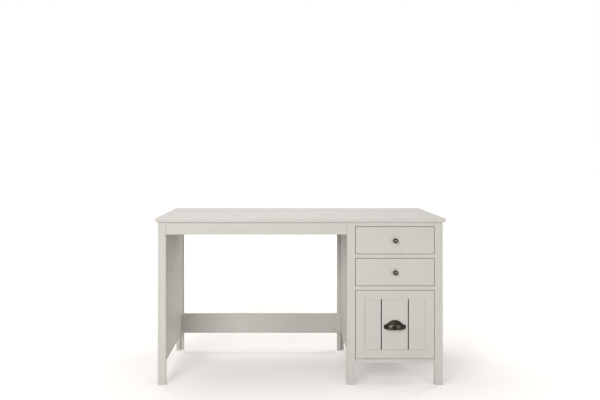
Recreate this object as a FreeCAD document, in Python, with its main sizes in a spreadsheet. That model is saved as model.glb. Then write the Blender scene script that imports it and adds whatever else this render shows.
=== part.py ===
import FreeCAD, Part

import os
from collections import defaultdict
from types import SimpleNamespace

import Sketcher
from FreeCAD import Placement, Rotation, Vector

# Pedestal writing desk. +Z is up, +X is the sitter's right and -Y is the front, where
# the drawers open. The origin is on the floor, under the middle of the tabletop.

SIZES = (
    ("desk_width", 1320, "tabletop, left to right"),
    ("desk_depth", 600, "tabletop, front to back"),
    ("desk_height", 760, "floor to the top face"),
    ("top_thickness", 18, "tabletop board"),
    ("top_overhang", 11, "tabletop beyond the legs, on all four sides"),
    ("top_edge_radius", 3, "softened upper edge and corners of the tabletop"),
    ("leg_thickness", 18, "both boards of an angle-section leg"),
    ("leg_depth", 38, "side board of a leg, front to back"),
    ("panel_thickness", 15, "side panels, seated in the angle of the legs"),
    ("panel_reveal", 4.5, "leg's inner edge beyond the panel's inner face"),
    ("foot_height", 100, "floor to the panels, the stretcher and the bottom rail"),
    ("pedestal_width", 436, "drawer pedestal over its legs"),
    ("back_thickness", 12, "back panel of the pedestal"),
    ("floor_thickness", 12, "bottom board of the pedestal"),
    ("apron_height", 58, "front and rear aprons of the knee space"),
    ("apron_thickness", 18, "front and rear aprons of the knee space"),
    ("apron_setback", 3, "apron's face behind the leg's face"),
    ("stretcher_height", 102, "low rail at the back of the knee space"),
    ("stretcher_thickness", 18, "low rail at the back of the knee space"),
    ("rail_depth", 40, "front rails of the pedestal, front to back"),
    ("top_rail_height", 20, "front rail under the tabletop"),
    ("rail_height", 18, "front rails between and under the drawers"),
    ("drawer_opening", 127, "clear height for each of the two upper drawers"),
    ("front_thickness", 18, "drawer fronts"),
    ("front_gap", 2, "gap all round a drawer front"),
    ("stile_width", 39, "frame of the deep drawer's front"),
    ("plank_recess", 4, "planks behind the face of their frame"),
    ("plank_thickness", 8, "planks of the deep drawer's front"),
    ("plank_lap", 8, "planks hidden behind their frame"),
    ("plank_gap", 4.5, "dark reveal between two planks"),
    ("middle_plank_width", 118.5, "plank that carries the cup pull"),
    ("backing_thickness", 4, "dark board behind the planks"),
    ("side_thickness", 12, "sides and back of the drawer boxes"),
    ("bottom_thickness", 4, "drawer bottoms"),
    ("bottom_lift", 10, "drawer bottom above the lower edge of the sides"),
    ("groove_depth", 6, "groove in the drawer sides for the bottom"),
    ("box_lift", 12, "drawer box above the rail below it"),
    ("box_headroom", 25, "drawer box below the rail above it"),
    ("drawer_rear_gap", 70, "drawer box in front of the back panel"),
    ("slide_space", 12.7, "room for a slide on each side of a drawer"),
    ("slide_height", 35, "fixed channel of a slide"),
    ("slide_sheet", 1.2, "sheet steel of the slides"),
    ("channel_depth", 9.5, "fixed channel, out from its packer"),
    ("member_depth", 7.5, "moving channel, out from the drawer side"),
    ("slide_rise", 57, "middle of a slide above the drawer opening's floor"),
    ("slide_inset", 1, "slide's front end behind the drawer front"),
    ("slide_tail", 10, "slide's rear end in front of the drawer box's"),
    ("running_gap", 0.4, "between the fixed and the moving channel"),
    ("packer_height", 45, "strip that brings a slide level with the legs"),
    ("cleat_width", 18, "battens that hold the tabletop"),
    ("screw_inset", 40, "first and last screw from the end of a batten or slide"),
    ("screw_radius", 2, "wood and machine screws"),
    ("screw_head_radius", 4, "their pan heads"),
    ("screw_head_height", 2, "their pan heads"),
    ("screw_bite", 12, "depth that a screw holds in the piece it fastens"),
    ("dowel_radius", 4, "wooden dowels"),
    ("dowel_length", 30, "wooden dowels"),
    ("apron_dowel_inset", 16, "apron dowels from its upper and lower edge"),
    ("fit_gap", 0.15, "round pieces in their holes"),
    ("cam_radius", 7.5, "cam lock"),
    ("cam_height", 12.5, "cam lock"),
    ("cam_sink", 0.5, "cam lock below the face of the stretcher"),
    ("cam_distance", 34, "cam lock from the end of the stretcher"),
    ("cam_edge", 20, "cam lock from the stretcher's upper and lower edge"),
    ("bolt_radius", 3, "cam bolt"),
    ("bolt_bite", 11, "cam bolt in the side panel"),
    ("bolt_play", 1, "cam bolt in the end of the stretcher"),
    ("cap_radius", 8.5, "cover cap of a cam lock"),
    ("cap_thickness", 0.8, "cover cap of a cam lock"),
    ("plug_radius", 3, "plug of a cover cap"),
    ("plug_length", 2, "plug of a cover cap, past the stretcher's face"),
    ("knob_radius", 11.5, "widest part of a knob"),
    ("knob_length", 22, "knob, out from the drawer front"),
    ("knob_foot_radius", 7.5, "knob where it meets the drawer front"),
    ("knob_neck_radius", 5, "narrowest part of a knob"),
    ("knob_face_radius", 6, "raised button on a knob's face"),
    ("knob_bite", 9, "machine screw in a knob or in a post of the pull"),
    ("pull_half_width", 43.5, "cup of the pull, middle to its end"),
    ("pull_height", 41, "cup of the pull"),
    ("pull_projection", 25, "cup of the pull, out from the plank"),
    ("pull_wall", 2.5, "cup of the pull"),
    ("pull_drop", 20.5, "pull's lower edge below the middle of the deep front"),
    ("ear_reach", 50.5, "middle of the pull to the tip of an ear"),
    ("ear_root", 37, "middle of the pull to where an ear starts"),
    ("ear_height", 18, "flat ears of the pull"),
    ("ear_thickness", 2.5, "flat ears of the pull"),
    ("post_radius", 4, "screw posts inside the pull"),
    ("post_spacing", 64, "screw posts inside the pull"),
    ("post_rise", 11, "screw posts above the pull's lower edge"),
)

# A knob's turned outline: a radius, a share of it, and a share of the knob's length.
KNOB_OUTLINE = (
    ("knob_foot_radius", 1, 0.1),
    ("knob_neck_radius", 1, 0.22),
    ("knob_neck_radius", 1, 0.4),
    ("knob_radius", 0.94, 0.6),
    ("knob_radius", 1, 0.7),
    ("knob_radius", 0.94, 0.82),
    ("knob_face_radius", 1, 0.9),
    ("knob_face_radius", 0.8, 1),
)

doc = FreeCAD.newDocument("writing_desk")
sheet = doc.addObject("Spreadsheet::Sheet", "sizes")
for row, (alias, value, note) in enumerate(SIZES, start=1):
    sheet.set(f"A{row}", note)
    sheet.set(f"B{row}", str(value))
    sheet.setAlias(f"B{row}", alias)
doc.recompute()


class Length:
    """A length: its value in millimetres and the sheet expression that gives it."""

    def __init__(self, value, text):
        self.value = value
        self.text = text

    def __add__(self, other):
        return Length(self.value + other.value, f"({self.text} + {other.text})")

    def __sub__(self, other):
        return Length(self.value - other.value, f"({self.text} - {other.text})")

    def __neg__(self):
        return Length(-self.value, f"(-{self.text})")

    def __mul__(self, factor):
        return Length(self.value * factor, f"({self.text} * {factor})")


def larger(one, other):
    """The larger of two lengths."""
    return Length(max(one.value, other.value), f"max({one.text}; {other.text})")


def smaller(one, other):
    """The smaller of two lengths."""
    return Length(min(one.value, other.value), f"min({one.text}; {other.text})")


size = SimpleNamespace(**{alias: Length(float(value), f"sizes.{alias}") for alias, value, _ in SIZES})
ZERO = Length(0.0, "0")

# Rotation that turns a primitive's own +Z to each axis.
TURNS = {
    "x": Rotation(Vector(0, 1, 0), 90),
    "y": Rotation(Vector(1, 0, 0), -90),
    "z": Rotation(),
}

pieces = []
holes = defaultdict(list)


# ---- builders ----------------------------------------------------------------------------


def bind_place(item, place):
    """Ties an object's position to three lengths."""
    for axis, length in zip("xyz", place):
        item.setExpression(f"Placement.Base.{axis}", length.text)


def block(name, x, y, z):
    """A box, from its (low, high) lengths along each axis."""
    item = doc.addObject("Part::Box", name)
    for prop, (low, high) in (("Length", x), ("Width", y), ("Height", z)):
        item.setExpression(prop, (high - low).text)
    bind_place(item, (x[0], y[0], z[0]))
    return item


def rod(name, axis, start, length, radius):
    """A round rod that runs from start along +axis."""
    item = doc.addObject("Part::Cylinder", name)
    item.Placement = Placement(Vector(), TURNS[axis])
    item.setExpression("Radius", radius.text)
    item.setExpression("Height", length.text)
    bind_place(item, start)
    return item


def group(name, members):
    """Several separate solids as one object."""
    item = doc.addObject("Part::Compound", name)
    item.Links = members
    return item


def cut(name, base, tools):
    """The base without its tools, or the base itself where there are none."""
    if not tools:
        return base
    item = doc.addObject("Part::Cut", name)
    item.Base = base
    item.Tool = tools[0] if len(tools) == 1 else group(f"{name}_tools", tools)
    return item


def fuse(name, members):
    """One solid from several that touch."""
    item = doc.addObject("Part::MultiFuse", name)
    item.Shapes = members
    item.Refine = True
    return item


def publish(label, item):
    """Drills the holes that other pieces asked for, and gives the piece its name."""
    drilled = cut(f"{item.Name}_drilled", item, holes[label])
    drilled.Label = label
    pieces.append(drilled)
    return drilled


def sketch_on(body, role, name):
    """A new sketch on one of the body's own origin planes."""
    sketch = body.newObject("Sketcher::SketchObject", name)
    plane = next(feature for feature in body.Origin.OriginFeatures if feature.Role == role)
    sketch.AttachmentSupport = [(plane, "")]
    sketch.MapMode = "FlatFace"
    return sketch


def outline(sketch, corners):
    """A closed polygon whose corners, pairs of lengths, are tied to the sheet."""
    spots = [Vector(across.value, up.value, 0) for across, up in corners]
    for index, spot in enumerate(spots):
        sketch.addGeometry(Part.LineSegment(spot, spots[(index + 1) % len(spots)]), False)
    for index in range(len(spots)):
        sketch.addConstraint(Sketcher.Constraint("Coincident", index, 2, (index + 1) % len(spots), 1))
    for index, (across, up) in enumerate(corners):
        for kind, length, axis in (("DistanceX", across, -2), ("DistanceY", up, -1)):
            if length.value == 0:
                sketch.addConstraint(Sketcher.Constraint("PointOnObject", index, 1, axis))
            elif length.value > 0:
                place = sketch.addConstraint(
                    Sketcher.Constraint(kind, -1, 1, index, 1, length.value)
                )
                sketch.setExpression(f"Constraints[{place}]", length.text)
            else:
                place = sketch.addConstraint(
                    Sketcher.Constraint(kind, index, 1, -1, 1, -length.value)
                )
                sketch.setExpression(f"Constraints[{place}]", (-length).text)


def padded(name, role, corners, length, place):
    """A body: an outline on an origin plane, drawn out along +Z (XY_Plane) or +Y (XZ_Plane)."""
    body = doc.addObject("PartDesign::Body", name)
    sketch = sketch_on(body, role, f"{name}_sketch")
    outline(sketch, corners)
    pad = body.newObject("PartDesign::Pad", f"{name}_pad")
    pad.Profile = sketch
    pad.Reversed = role == "XZ_Plane"
    pad.setExpression("Length", length.text)
    bind_place(body, place)
    return body


def spread(low, high, inset):
    """Three places along a span: one near each end and one in the middle."""
    return (low + inset, (low + high) * 0.5, high - inset)


# ---- shared planes -----------------------------------------------------------------------

leg_width = size.leg_thickness + size.panel_thickness + size.panel_reveal
half_width = size.desk_width * 0.5
half_depth = size.desk_depth * 0.5
underside = size.desk_height - size.top_thickness

front = size.top_overhang - half_depth
rear = half_depth - size.top_overhang
behind_front_legs = front + size.leg_thickness
before_rear_legs = rear - size.leg_thickness

frame_left = size.top_overhang - half_width
pedestal_right = half_width - size.top_overhang
pedestal_left = pedestal_right - size.pedestal_width

opening_left = pedestal_left + leg_width
opening_right = pedestal_right - leg_width
rail_rear = front + size.rail_depth
back_front = before_rear_legs - size.back_thickness

bottom_rail_top = size.foot_height + size.rail_height
upper_floor = underside - size.top_rail_height - size.drawer_opening
middle_floor = upper_floor - size.rail_height - size.drawer_opening
deep_top = middle_floor - size.rail_height

# Side panels: (low, high) along X, named by where they stand.
left_panel_x = (
    frame_left + size.leg_thickness,
    frame_left + size.leg_thickness + size.panel_thickness,
)
pedestal_left_panel_x = (
    pedestal_left + size.leg_thickness,
    pedestal_left + size.leg_thickness + size.panel_thickness,
)
pedestal_right_panel_x = (
    pedestal_right - size.leg_thickness - size.panel_thickness,
    pedestal_right - size.leg_thickness,
)


# ---- fastenings --------------------------------------------------------------------------

dowels = []
screws = []


def dowel(x, y, z, owners):
    """A wooden dowel along X, half in each owner."""
    number = len(dowels) + 1
    start = x - size.dowel_length * 0.5
    dowels.append(rod(f"dowel_{number}", "x", (start, y, z), size.dowel_length, size.dowel_radius))
    hole = rod(
        f"dowel_hole_{number}",
        "x",
        (start - size.fit_gap, y, z),
        size.dowel_length + size.fit_gap * 2,
        size.dowel_radius + size.fit_gap,
    )
    for owner in owners:
        holes[owner].append(hole)


def screw(name, axis, seat, reach, sign, owners):
    """A pan-head screw whose head sits on seat and whose shank runs reach along the axis."""
    head_start = list(seat)
    shank_start = list(seat)
    hole_start = list(seat)
    index = "xyz".index(axis)
    if sign > 0:
        head_start[index] = seat[index] - size.screw_head_height
        hole_start[index] = seat[index] - size.fit_gap
    else:
        shank_start[index] = seat[index] - reach
        hole_start[index] = seat[index] - reach - size.fit_gap
    head = rod(f"{name}_head", axis, head_start, size.screw_head_height, size.screw_head_radius)
    shank = rod(f"{name}_shank", axis, shank_start, reach, size.screw_radius)
    hole = rod(
        f"{name}_hole",
        axis,
        hole_start,
        reach + size.fit_gap * 2,
        size.screw_radius + size.fit_gap,
    )
    for owner in owners:
        holes[owner].append(hole)
    return fuse(name, [head, shank])


# ---- dowel joints ------------------------------------------------------------------------

rail_middle_y = front + size.leg_thickness * 0.5
rail_levels = {
    "top_front_rail": (underside - size.top_rail_height, underside),
    "upper_front_rail": (upper_floor - size.rail_height, upper_floor),
    "lower_front_rail": (deep_top, deep_top + size.rail_height),
    "bottom_front_rail": (size.foot_height, bottom_rail_top),
}
for rail, (low, high) in rail_levels.items():
    for edge, leg in (
        (opening_left, "pedestal_left_front_leg"),
        (opening_right, "pedestal_right_front_leg"),
    ):
        dowel(edge, rail_middle_y, (low + high) * 0.5, (rail, leg))

apron_bottom = underside - size.apron_height
apron_front_y = (front + size.apron_setback, front + size.apron_setback + size.apron_thickness)
apron_rear_y = (rear - size.apron_setback - size.apron_thickness, rear - size.apron_setback)
apron_x = (frame_left + leg_width, pedestal_left)
for apron, side, (low, high) in (
    ("knee_apron", "front", apron_front_y),
    ("rear_apron", "rear", apron_rear_y),
):
    for edge, frame in ((apron_x[0], "left"), (apron_x[1], "pedestal_left")):
        for z in (apron_bottom + size.apron_dowel_inset, underside - size.apron_dowel_inset):
            dowel(edge, (low + high) * 0.5, z, (apron, f"{frame}_{side}_leg"))


# ---- battens and their screws ------------------------------------------------------------

cleat_bottom = underside - size.top_rail_height
cleat_spans = {
    "left": (
        left_panel_x[1],
        left_panel_x[1] + size.cleat_width,
        larger(behind_front_legs, apron_front_y[1]),
        smaller(before_rear_legs, apron_rear_y[0]),
    ),
    "pedestal_left": (
        pedestal_left_panel_x[1],
        pedestal_left_panel_x[1] + size.cleat_width,
        rail_rear,
        back_front,
    ),
    "pedestal_right": (
        pedestal_right_panel_x[0] - size.cleat_width,
        pedestal_right_panel_x[0],
        rail_rear,
        back_front,
    ),
}
cleats = []
for place, (low_x, high_x, low_y, high_y) in cleat_spans.items():
    cleats.append(block(f"{place}_cleat", (low_x, high_x), (low_y, high_y), (cleat_bottom, underside)))
    for number, y in enumerate(spread(low_y, high_y, size.screw_inset), start=1):
        screws.append(
            screw(
                f"{place}_cleat_screw_{number}",
                "z",
                ((low_x + high_x) * 0.5, y, cleat_bottom),
                size.top_rail_height + size.screw_bite,
                1,
                ("tabletop_cleats", "tabletop"),
            )
        )
publish("tabletop_cleats", group("cleats", cleats))
publish("tabletop_screws", group("cleat_screws", screws))


# ---- tabletop ----------------------------------------------------------------------------

top = padded(
    "top_board",
    "XY_Plane",
    [
        (-half_width, -half_depth),
        (half_width, -half_depth),
        (half_width, half_depth),
        (-half_width, half_depth),
    ],
    size.top_thickness,
    (ZERO, ZERO, underside),
)
doc.recompute()


def softened(edge, thickness):
    """True for the upper edges and the four upright corner edges of a board."""
    lowest = min(vertex.Z for vertex in edge.Vertexes)
    highest = max(vertex.Z for vertex in edge.Vertexes)
    return highest - lowest > thickness / 2 or lowest > thickness / 2


board = top.Tip
edges = board.Shape.Edges
names = [f"Edge{i}" for i, edge in enumerate(edges, start=1) if softened(edge, size.top_thickness.value)]
easing = top.newObject("PartDesign::Fillet", "top_easing")
easing.Base = (board, names)
easing.setExpression("Radius", size.top_edge_radius.text)
publish("tabletop", top)


# ---- legs --------------------------------------------------------------------------------


def angle_leg(label, corner, inward_x, inward_y):
    """A leg of angle section, from its outer corner and the two directions into the desk."""
    wide = leg_width if inward_x > 0 else -leg_width
    deep = size.leg_depth if inward_y > 0 else -size.leg_depth
    board_x = size.leg_thickness if inward_x > 0 else -size.leg_thickness
    board_y = size.leg_thickness if inward_y > 0 else -size.leg_thickness
    corners = [
        (ZERO, ZERO),
        (wide, ZERO),
        (wide, board_y),
        (board_x, board_y),
        (board_x, deep),
        (ZERO, deep),
    ]
    publish(label, padded(f"{label}_body", "XY_Plane", corners, underside, (*corner, ZERO)))


for frame, x, inward in (
    ("left", frame_left, 1),
    ("pedestal_left", pedestal_left, 1),
    ("pedestal_right", pedestal_right, -1),
):
    angle_leg(f"{frame}_front_leg", (x, front), inward, 1)
    angle_leg(f"{frame}_rear_leg", (x, rear), inward, -1)


# ---- stretcher, its cam locks, bolts and caps ----------------------------------------------

stretcher_x = (left_panel_x[1], pedestal_left_panel_x[0])
stretcher_rear = rear - size.leg_depth
stretcher_front = stretcher_rear - size.stretcher_thickness
stretcher_top = size.foot_height + size.stretcher_height
cams = []
caps = []
bolts = []
bolt_reach = size.cam_distance + size.bolt_bite

for end, edge, sign, panel in (
    ("left", stretcher_x[0], 1, "left_side_panel"),
    ("right", stretcher_x[1], -1, "pedestal_left_side_panel"),
):
    for level, z in (
        ("lower", size.foot_height + size.cam_edge),
        ("upper", stretcher_top - size.cam_edge),
    ):
        name = f"{end}_{level}_cam"
        centre = edge + size.cam_distance * sign
        bolt_y = stretcher_front + size.stretcher_thickness * 0.5
        cam_face = stretcher_front + size.cam_sink
        low = edge - size.bolt_bite if sign > 0 else centre
        bolts.append(rod(f"{name}_bolt", "x", (low, bolt_y, z), bolt_reach, size.bolt_radius))
        channel_low = edge if sign > 0 else centre
        holes["back_stretcher"].append(
            rod(
                f"{name}_bolt_way",
                "x",
                (channel_low, bolt_y, z),
                size.cam_distance,
                size.bolt_radius + size.bolt_play,
            )
        )
        bite_low = edge - size.bolt_bite - size.fit_gap if sign > 0 else edge
        holes[panel].append(
            rod(
                f"{name}_bolt_seat",
                "x",
                (bite_low, bolt_y, z),
                size.bolt_bite + size.fit_gap,
                size.bolt_radius + size.fit_gap,
            )
        )
        holes["back_stretcher"].append(
            rod(
                f"{name}_pocket",
                "y",
                (centre, stretcher_front, z),
                size.cam_sink + size.cam_height + size.fit_gap,
                size.cam_radius + size.fit_gap,
            )
        )
        disc = rod(f"{name}_disc", "y", (centre, cam_face, z), size.cam_height, size.cam_radius)
        mouth_low = centre - size.cam_radius if sign > 0 else centre
        mouth = rod(
            f"{name}_mouth",
            "x",
            (mouth_low, bolt_y, z),
            size.cam_radius + size.fit_gap,
            size.bolt_radius + size.fit_gap,
        )
        bolt_end = rod(
            f"{name}_bolt_end",
            "x",
            (centre - size.fit_gap, bolt_y, z),
            size.fit_gap * 2,
            size.bolt_radius + size.fit_gap,
        )
        drive = rod(
            f"{name}_drive",
            "y",
            (centre, cam_face, z),
            size.plug_length,
            size.plug_radius + size.fit_gap,
        )
        cams.append(cut(name, disc, [mouth, bolt_end, drive]))
        cover = rod(
            f"{name}_cover",
            "y",
            (centre, stretcher_front - size.cap_thickness, z),
            size.cap_thickness,
            size.cap_radius,
        )
        plug = rod(f"{name}_plug", "y", (centre, stretcher_front, z), size.plug_length, size.plug_radius)
        caps.append(fuse(f"{name}_cap", [cover, plug]))

publish("cam_locks", group("cams", cams))
publish("cam_caps", group("caps", caps))
publish("cam_bolts", group("bolts", bolts))
publish(
    "back_stretcher",
    block(
        "stretcher_board",
        stretcher_x,
        (stretcher_front, stretcher_rear),
        (size.foot_height, stretcher_top),
    ),
)


# ---- aprons and front rails --------------------------------------------------------------

publish("knee_apron", block("knee_apron_board", apron_x, apron_front_y, (apron_bottom, underside)))
publish("rear_apron", block("rear_apron_board", apron_x, apron_rear_y, (apron_bottom, underside)))
for rail, levels in rail_levels.items():
    publish(rail, block(f"{rail}_board", (opening_left, opening_right), (front, rail_rear), levels))
publish("frame_dowels", group("dowels", dowels))


# ---- pedestal back and bottom ------------------------------------------------------------

inside_x = (pedestal_left_panel_x[1], pedestal_right_panel_x[0])
publish(
    "pedestal_back_panel",
    block("back_board", inside_x, (back_front, before_rear_legs), (size.foot_height, underside)),
)
publish(
    "pedestal_bottom_board",
    block(
        "bottom_board",
        inside_x,
        (rail_rear, back_front),
        (bottom_rail_top - size.floor_thickness, bottom_rail_top),
    ),
)


# ---- drawers -----------------------------------------------------------------------------

drawer_levels = {
    "upper": (upper_floor, upper_floor + size.drawer_opening),
    "middle": (middle_floor, middle_floor + size.drawer_opening),
    "deep": (bottom_rail_top, deep_top),
}
front_x = (opening_left + size.front_gap, opening_right - size.front_gap)
front_y = (front, front + size.front_thickness)
box_x = (opening_left + size.slide_space, opening_right - size.slide_space)
box_rear = back_front - size.drawer_rear_gap
drawer_middle_x = (front_x[0] + front_x[1]) * 0.5
slide_y = (front_y[1] + size.slide_inset, box_rear - size.slide_tail)
slide_length = slide_y[1] - slide_y[0]
packers = []
channels = []
slide_screws = []


def steel_channel(name, face_x, sign, depth, height, z):
    """A C-shaped strip of sheet steel: its web lies on face_x and its flanges point by sign."""
    web = size.slide_sheet if sign > 0 else -size.slide_sheet
    reach = depth if sign > 0 else -depth
    top_edge = height * 0.5
    inner = top_edge - size.slide_sheet
    corners = [
        (ZERO, -top_edge),
        (reach, -top_edge),
        (reach, -inner),
        (web, -inner),
        (web, inner),
        (reach, inner),
        (reach, top_edge),
        (ZERO, top_edge),
    ]
    return padded(name, "XZ_Plane", corners, slide_length, (face_x, slide_y[0], z))


def build_slides(drawer, floor_z):
    """Packers, fixed channels and moving channels of one drawer's two slides."""
    z = floor_z + size.slide_rise
    half_packer = size.packer_height * 0.5
    member_height = size.slide_height - size.slide_sheet * 2 - size.running_gap * 2
    members = []
    for side, panel_x, edge, box_face, sign in (
        ("left", inside_x[0], opening_left, box_x[0], 1),
        ("right", inside_x[1], opening_right, box_x[1], -1),
    ):
        span = (panel_x, edge) if sign > 0 else (edge, panel_x)
        packer = block(
            f"{drawer}_{side}_packer",
            span,
            (behind_front_legs, slide_y[1]),
            (z - half_packer, z + half_packer),
        )
        packers.append(packer)
        name = f"{drawer}_{side}_channel"
        channels.append(steel_channel(name, edge, sign, size.channel_depth, size.slide_height, z))
        name = f"{drawer}_{side}_member"
        members.append(steel_channel(name, box_face, -sign, size.member_depth, member_height, z))
        seat_x = edge + size.slide_sheet * sign
        reach = size.slide_sheet + size.panel_reveal + size.screw_bite
        wall = "pedestal_left_side_panel" if sign > 0 else "pedestal_right_side_panel"
        owners = ("slide_packers", "slide_channels", wall)
        for number, y in enumerate(spread(*slide_y, size.screw_inset), start=1):
            name = f"{drawer}_{side}_slide_screw_{number}"
            slide_screws.append(screw(name, "x", (seat_x, y, z), reach, -sign, owners))
    publish(f"{drawer}_slide_members", group(f"{drawer}_members", members))


def build_box(drawer, floor_z, ceiling_z):
    """Sides, back and bottom of one drawer."""
    low = floor_z + size.box_lift
    high = ceiling_z - size.box_headroom
    bottom_low = low + size.bottom_lift
    bottom_high = bottom_low + size.bottom_thickness
    inner_x = (box_x[0] + size.side_thickness, box_x[1] - size.side_thickness)
    groove_x = (inner_x[0] - size.groove_depth, inner_x[1] + size.groove_depth)
    depth = (front_y[1], box_rear)
    groove = block(f"{drawer}_groove", groove_x, depth, (bottom_low, bottom_high))
    for side, span in (
        ("left", (box_x[0], inner_x[0])),
        ("right", (inner_x[1], box_x[1])),
    ):
        label = f"{drawer}_drawer_{side}_side"
        holes[label].append(groove)
        publish(label, block(f"{drawer}_{side}_board", span, depth, (low, high)))
    publish(
        f"{drawer}_drawer_back",
        block(
            f"{drawer}_back_board",
            inner_x,
            (box_rear - size.side_thickness, box_rear),
            (bottom_high, high),
        ),
    )
    play = size.running_gap
    sheet_x = (groove_x[0] + play, groove_x[1] - play)
    publish(
        f"{drawer}_drawer_bottom",
        block(f"{drawer}_bottom_board", sheet_x, depth, (bottom_low, bottom_high)),
    )


def build_knob(drawer, z):
    """A turned knob on the drawer front, and the machine screw that holds it."""
    label = f"{drawer}_drawer_knob"
    body = doc.addObject("PartDesign::Body", f"{drawer}_knob_body")
    sketch = sketch_on(body, "XZ_Plane", f"{drawer}_knob_sketch")
    length = size.knob_length
    corners = [(ZERO, ZERO), (size.knob_foot_radius, ZERO)]
    for radius, share, out in KNOB_OUTLINE:
        corners.append((getattr(size, radius) * share, length * out))
    corners.append((ZERO, length))
    outline(sketch, corners)
    turn = body.newObject("PartDesign::Revolution", f"{drawer}_knob_turn")
    turn.Profile = sketch
    turn.ReferenceAxis = (sketch, ["V_Axis"])
    turn.Angle = 360
    body.Placement = Placement(Vector(), Rotation(Vector(1, 0, 0), 90))
    bind_place(body, (drawer_middle_x, front_y[0], z))
    reach = size.front_thickness + size.knob_bite
    fastener = screw(
        f"{drawer}_knob_bolt",
        "y",
        (drawer_middle_x, front_y[1], z),
        reach,
        -1,
        (label, f"{drawer}_drawer_front"),
    )
    publish(label, body)
    publish(f"{drawer}_knob_screw", fastener)


def build_plain_front(drawer, floor_z, ceiling_z):
    """A flat drawer front with a knob in its middle."""
    levels = (floor_z + size.front_gap, ceiling_z - size.front_gap)
    build_knob(drawer, (levels[0] + levels[1]) * 0.5)
    publish(f"{drawer}_drawer_front", block(f"{drawer}_front_board", front_x, front_y, levels))


def build_planked_front(floor_z, ceiling_z):
    """The deep drawer's front: a frame around three planks on a dark backing board."""
    low = floor_z + size.front_gap
    high = ceiling_z - size.front_gap
    frame_x = (front_x[0] + size.stile_width, front_x[1] - size.stile_width)
    frame_z = (low + size.stile_width, high - size.stile_width)
    field_x = (frame_x[0] - size.plank_lap, frame_x[1] + size.plank_lap)
    field_z = (frame_z[0] - size.plank_lap, frame_z[1] + size.plank_lap)
    plank_y = (
        front_y[0] + size.plank_recess,
        front_y[0] + size.plank_recess + size.plank_thickness,
    )
    rebate = block("deep_rebate", field_x, (plank_y[0], front_y[1]), field_z)
    for label, x, z in (
        ("deep_front_left_stile", (front_x[0], frame_x[0]), (low, high)),
        ("deep_front_right_stile", (frame_x[1], front_x[1]), (low, high)),
        ("deep_front_top_rail", frame_x, (frame_z[1], high)),
        ("deep_front_bottom_rail", frame_x, (low, frame_z[0])),
    ):
        holes[label].append(rebate)
        publish(label, block(f"{label}_board", x, front_y, z))
    half_plank = size.middle_plank_width * 0.5
    plank_edges = (drawer_middle_x - half_plank, drawer_middle_x + half_plank)
    pull_low = (low + high) * 0.5 - size.pull_drop
    build_pull(plank_y[0], pull_low)
    for label, x in (
        ("deep_front_left_plank", (field_x[0], plank_edges[0] - size.plank_gap)),
        ("deep_front_middle_plank", plank_edges),
        ("deep_front_right_plank", (plank_edges[1] + size.plank_gap, field_x[1])),
    ):
        publish(label, block(f"{label}_board", x, plank_y, field_z))
    backing_y = (plank_y[1], plank_y[1] + size.backing_thickness)
    publish("deep_front_backing", block("deep_backing_board", field_x, backing_y, field_z))


def half_egg(name, face_y, low_z, wall):
    """The solid of a pull's cup, less a wall, as an ellipsoid about the cup's lower middle."""
    item = doc.addObject("Part::Ellipsoid", name)
    item.Angle1 = -90
    item.Angle2 = 90
    item.Angle3 = 360
    item.setExpression("Radius1", (size.pull_height - wall).text)
    item.setExpression("Radius2", (size.pull_half_width - wall).text)
    item.setExpression("Radius3", (size.pull_projection - wall).text)
    bind_place(item, (drawer_middle_x, face_y, low_z))
    return item


def build_pull(face_y, low_z):
    """The cup pull: a quarter-egg shell, open below, with an ear at each end and two posts."""
    label = "deep_drawer_cup_pull"
    egg = half_egg("pull_egg", face_y, low_z, ZERO)
    hollow = half_egg("pull_hollow", face_y, low_z, size.pull_wall)
    quarter = block(
        "pull_quarter",
        (drawer_middle_x - size.ear_reach, drawer_middle_x + size.ear_reach),
        (face_y - size.pull_projection, face_y),
        (low_z, low_z + size.pull_height),
    )
    shell = cut("pull_shell", egg, [hollow])
    dome = doc.addObject("Part::Common", "pull_dome")
    dome.Base = shell
    dome.Tool = quarter
    solid = doc.addObject("Part::Common", "pull_solid")
    solid.Base = egg
    solid.Tool = quarter
    members = [dome]
    bolts = []
    shank = size.plank_thickness + size.backing_thickness + size.knob_bite
    seat_y = face_y + size.plank_thickness + size.backing_thickness
    for side, sign in (("left", -1), ("right", 1)):
        tip = drawer_middle_x + size.ear_reach * sign
        root = drawer_middle_x + size.ear_root * sign
        members.append(
            block(
                f"pull_{side}_ear",
                (tip, root) if sign < 0 else (root, tip),
                (face_y - size.ear_thickness, face_y),
                (low_z, low_z + size.ear_height),
            )
        )
        post_x = drawer_middle_x + size.post_spacing * 0.5 * sign
        post_z = low_z + size.post_rise
        post = rod(
            f"pull_{side}_post_rod",
            "y",
            (post_x, face_y - size.pull_projection, post_z),
            size.pull_projection,
            size.post_radius,
        )
        inner_post = doc.addObject("Part::Common", f"pull_{side}_post")
        inner_post.Base = post
        inner_post.Tool = solid
        members.append(inner_post)
        bolts.append(
            screw(
                f"pull_{side}_bolt",
                "y",
                (post_x, seat_y, post_z),
                shank,
                -1,
                (label, "deep_front_middle_plank", "deep_front_backing"),
            )
        )
    publish(label, fuse("pull_casting", members))
    publish("cup_pull_screws", group("pull_bolts", bolts))


for drawer, (floor_z, ceiling_z) in drawer_levels.items():
    build_slides(drawer, floor_z)
    build_box(drawer, floor_z, ceiling_z)
    if drawer == "deep":
        build_planked_front(floor_z, ceiling_z)
    else:
        build_plain_front(drawer, floor_z, ceiling_z)

publish("slide_packers", group("packers", packers))
publish("slide_channels", group("channels", channels))
publish("slide_screws", group("slide_screw_set", slide_screws))


# ---- side panels, drilled for the bolts and screws above -----------------------------------

for label, span in (
    ("left_side_panel", left_panel_x),
    ("pedestal_left_side_panel", pedestal_left_panel_x),
    ("pedestal_right_side_panel", pedestal_right_panel_x),
):
    publish(
        label,
        block(
            f"{label}_board",
            span,
            (behind_front_legs, before_rear_legs),
            (size.foot_height, underside),
        ),
    )


# ---- check and export --------------------------------------------------------------------

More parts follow.
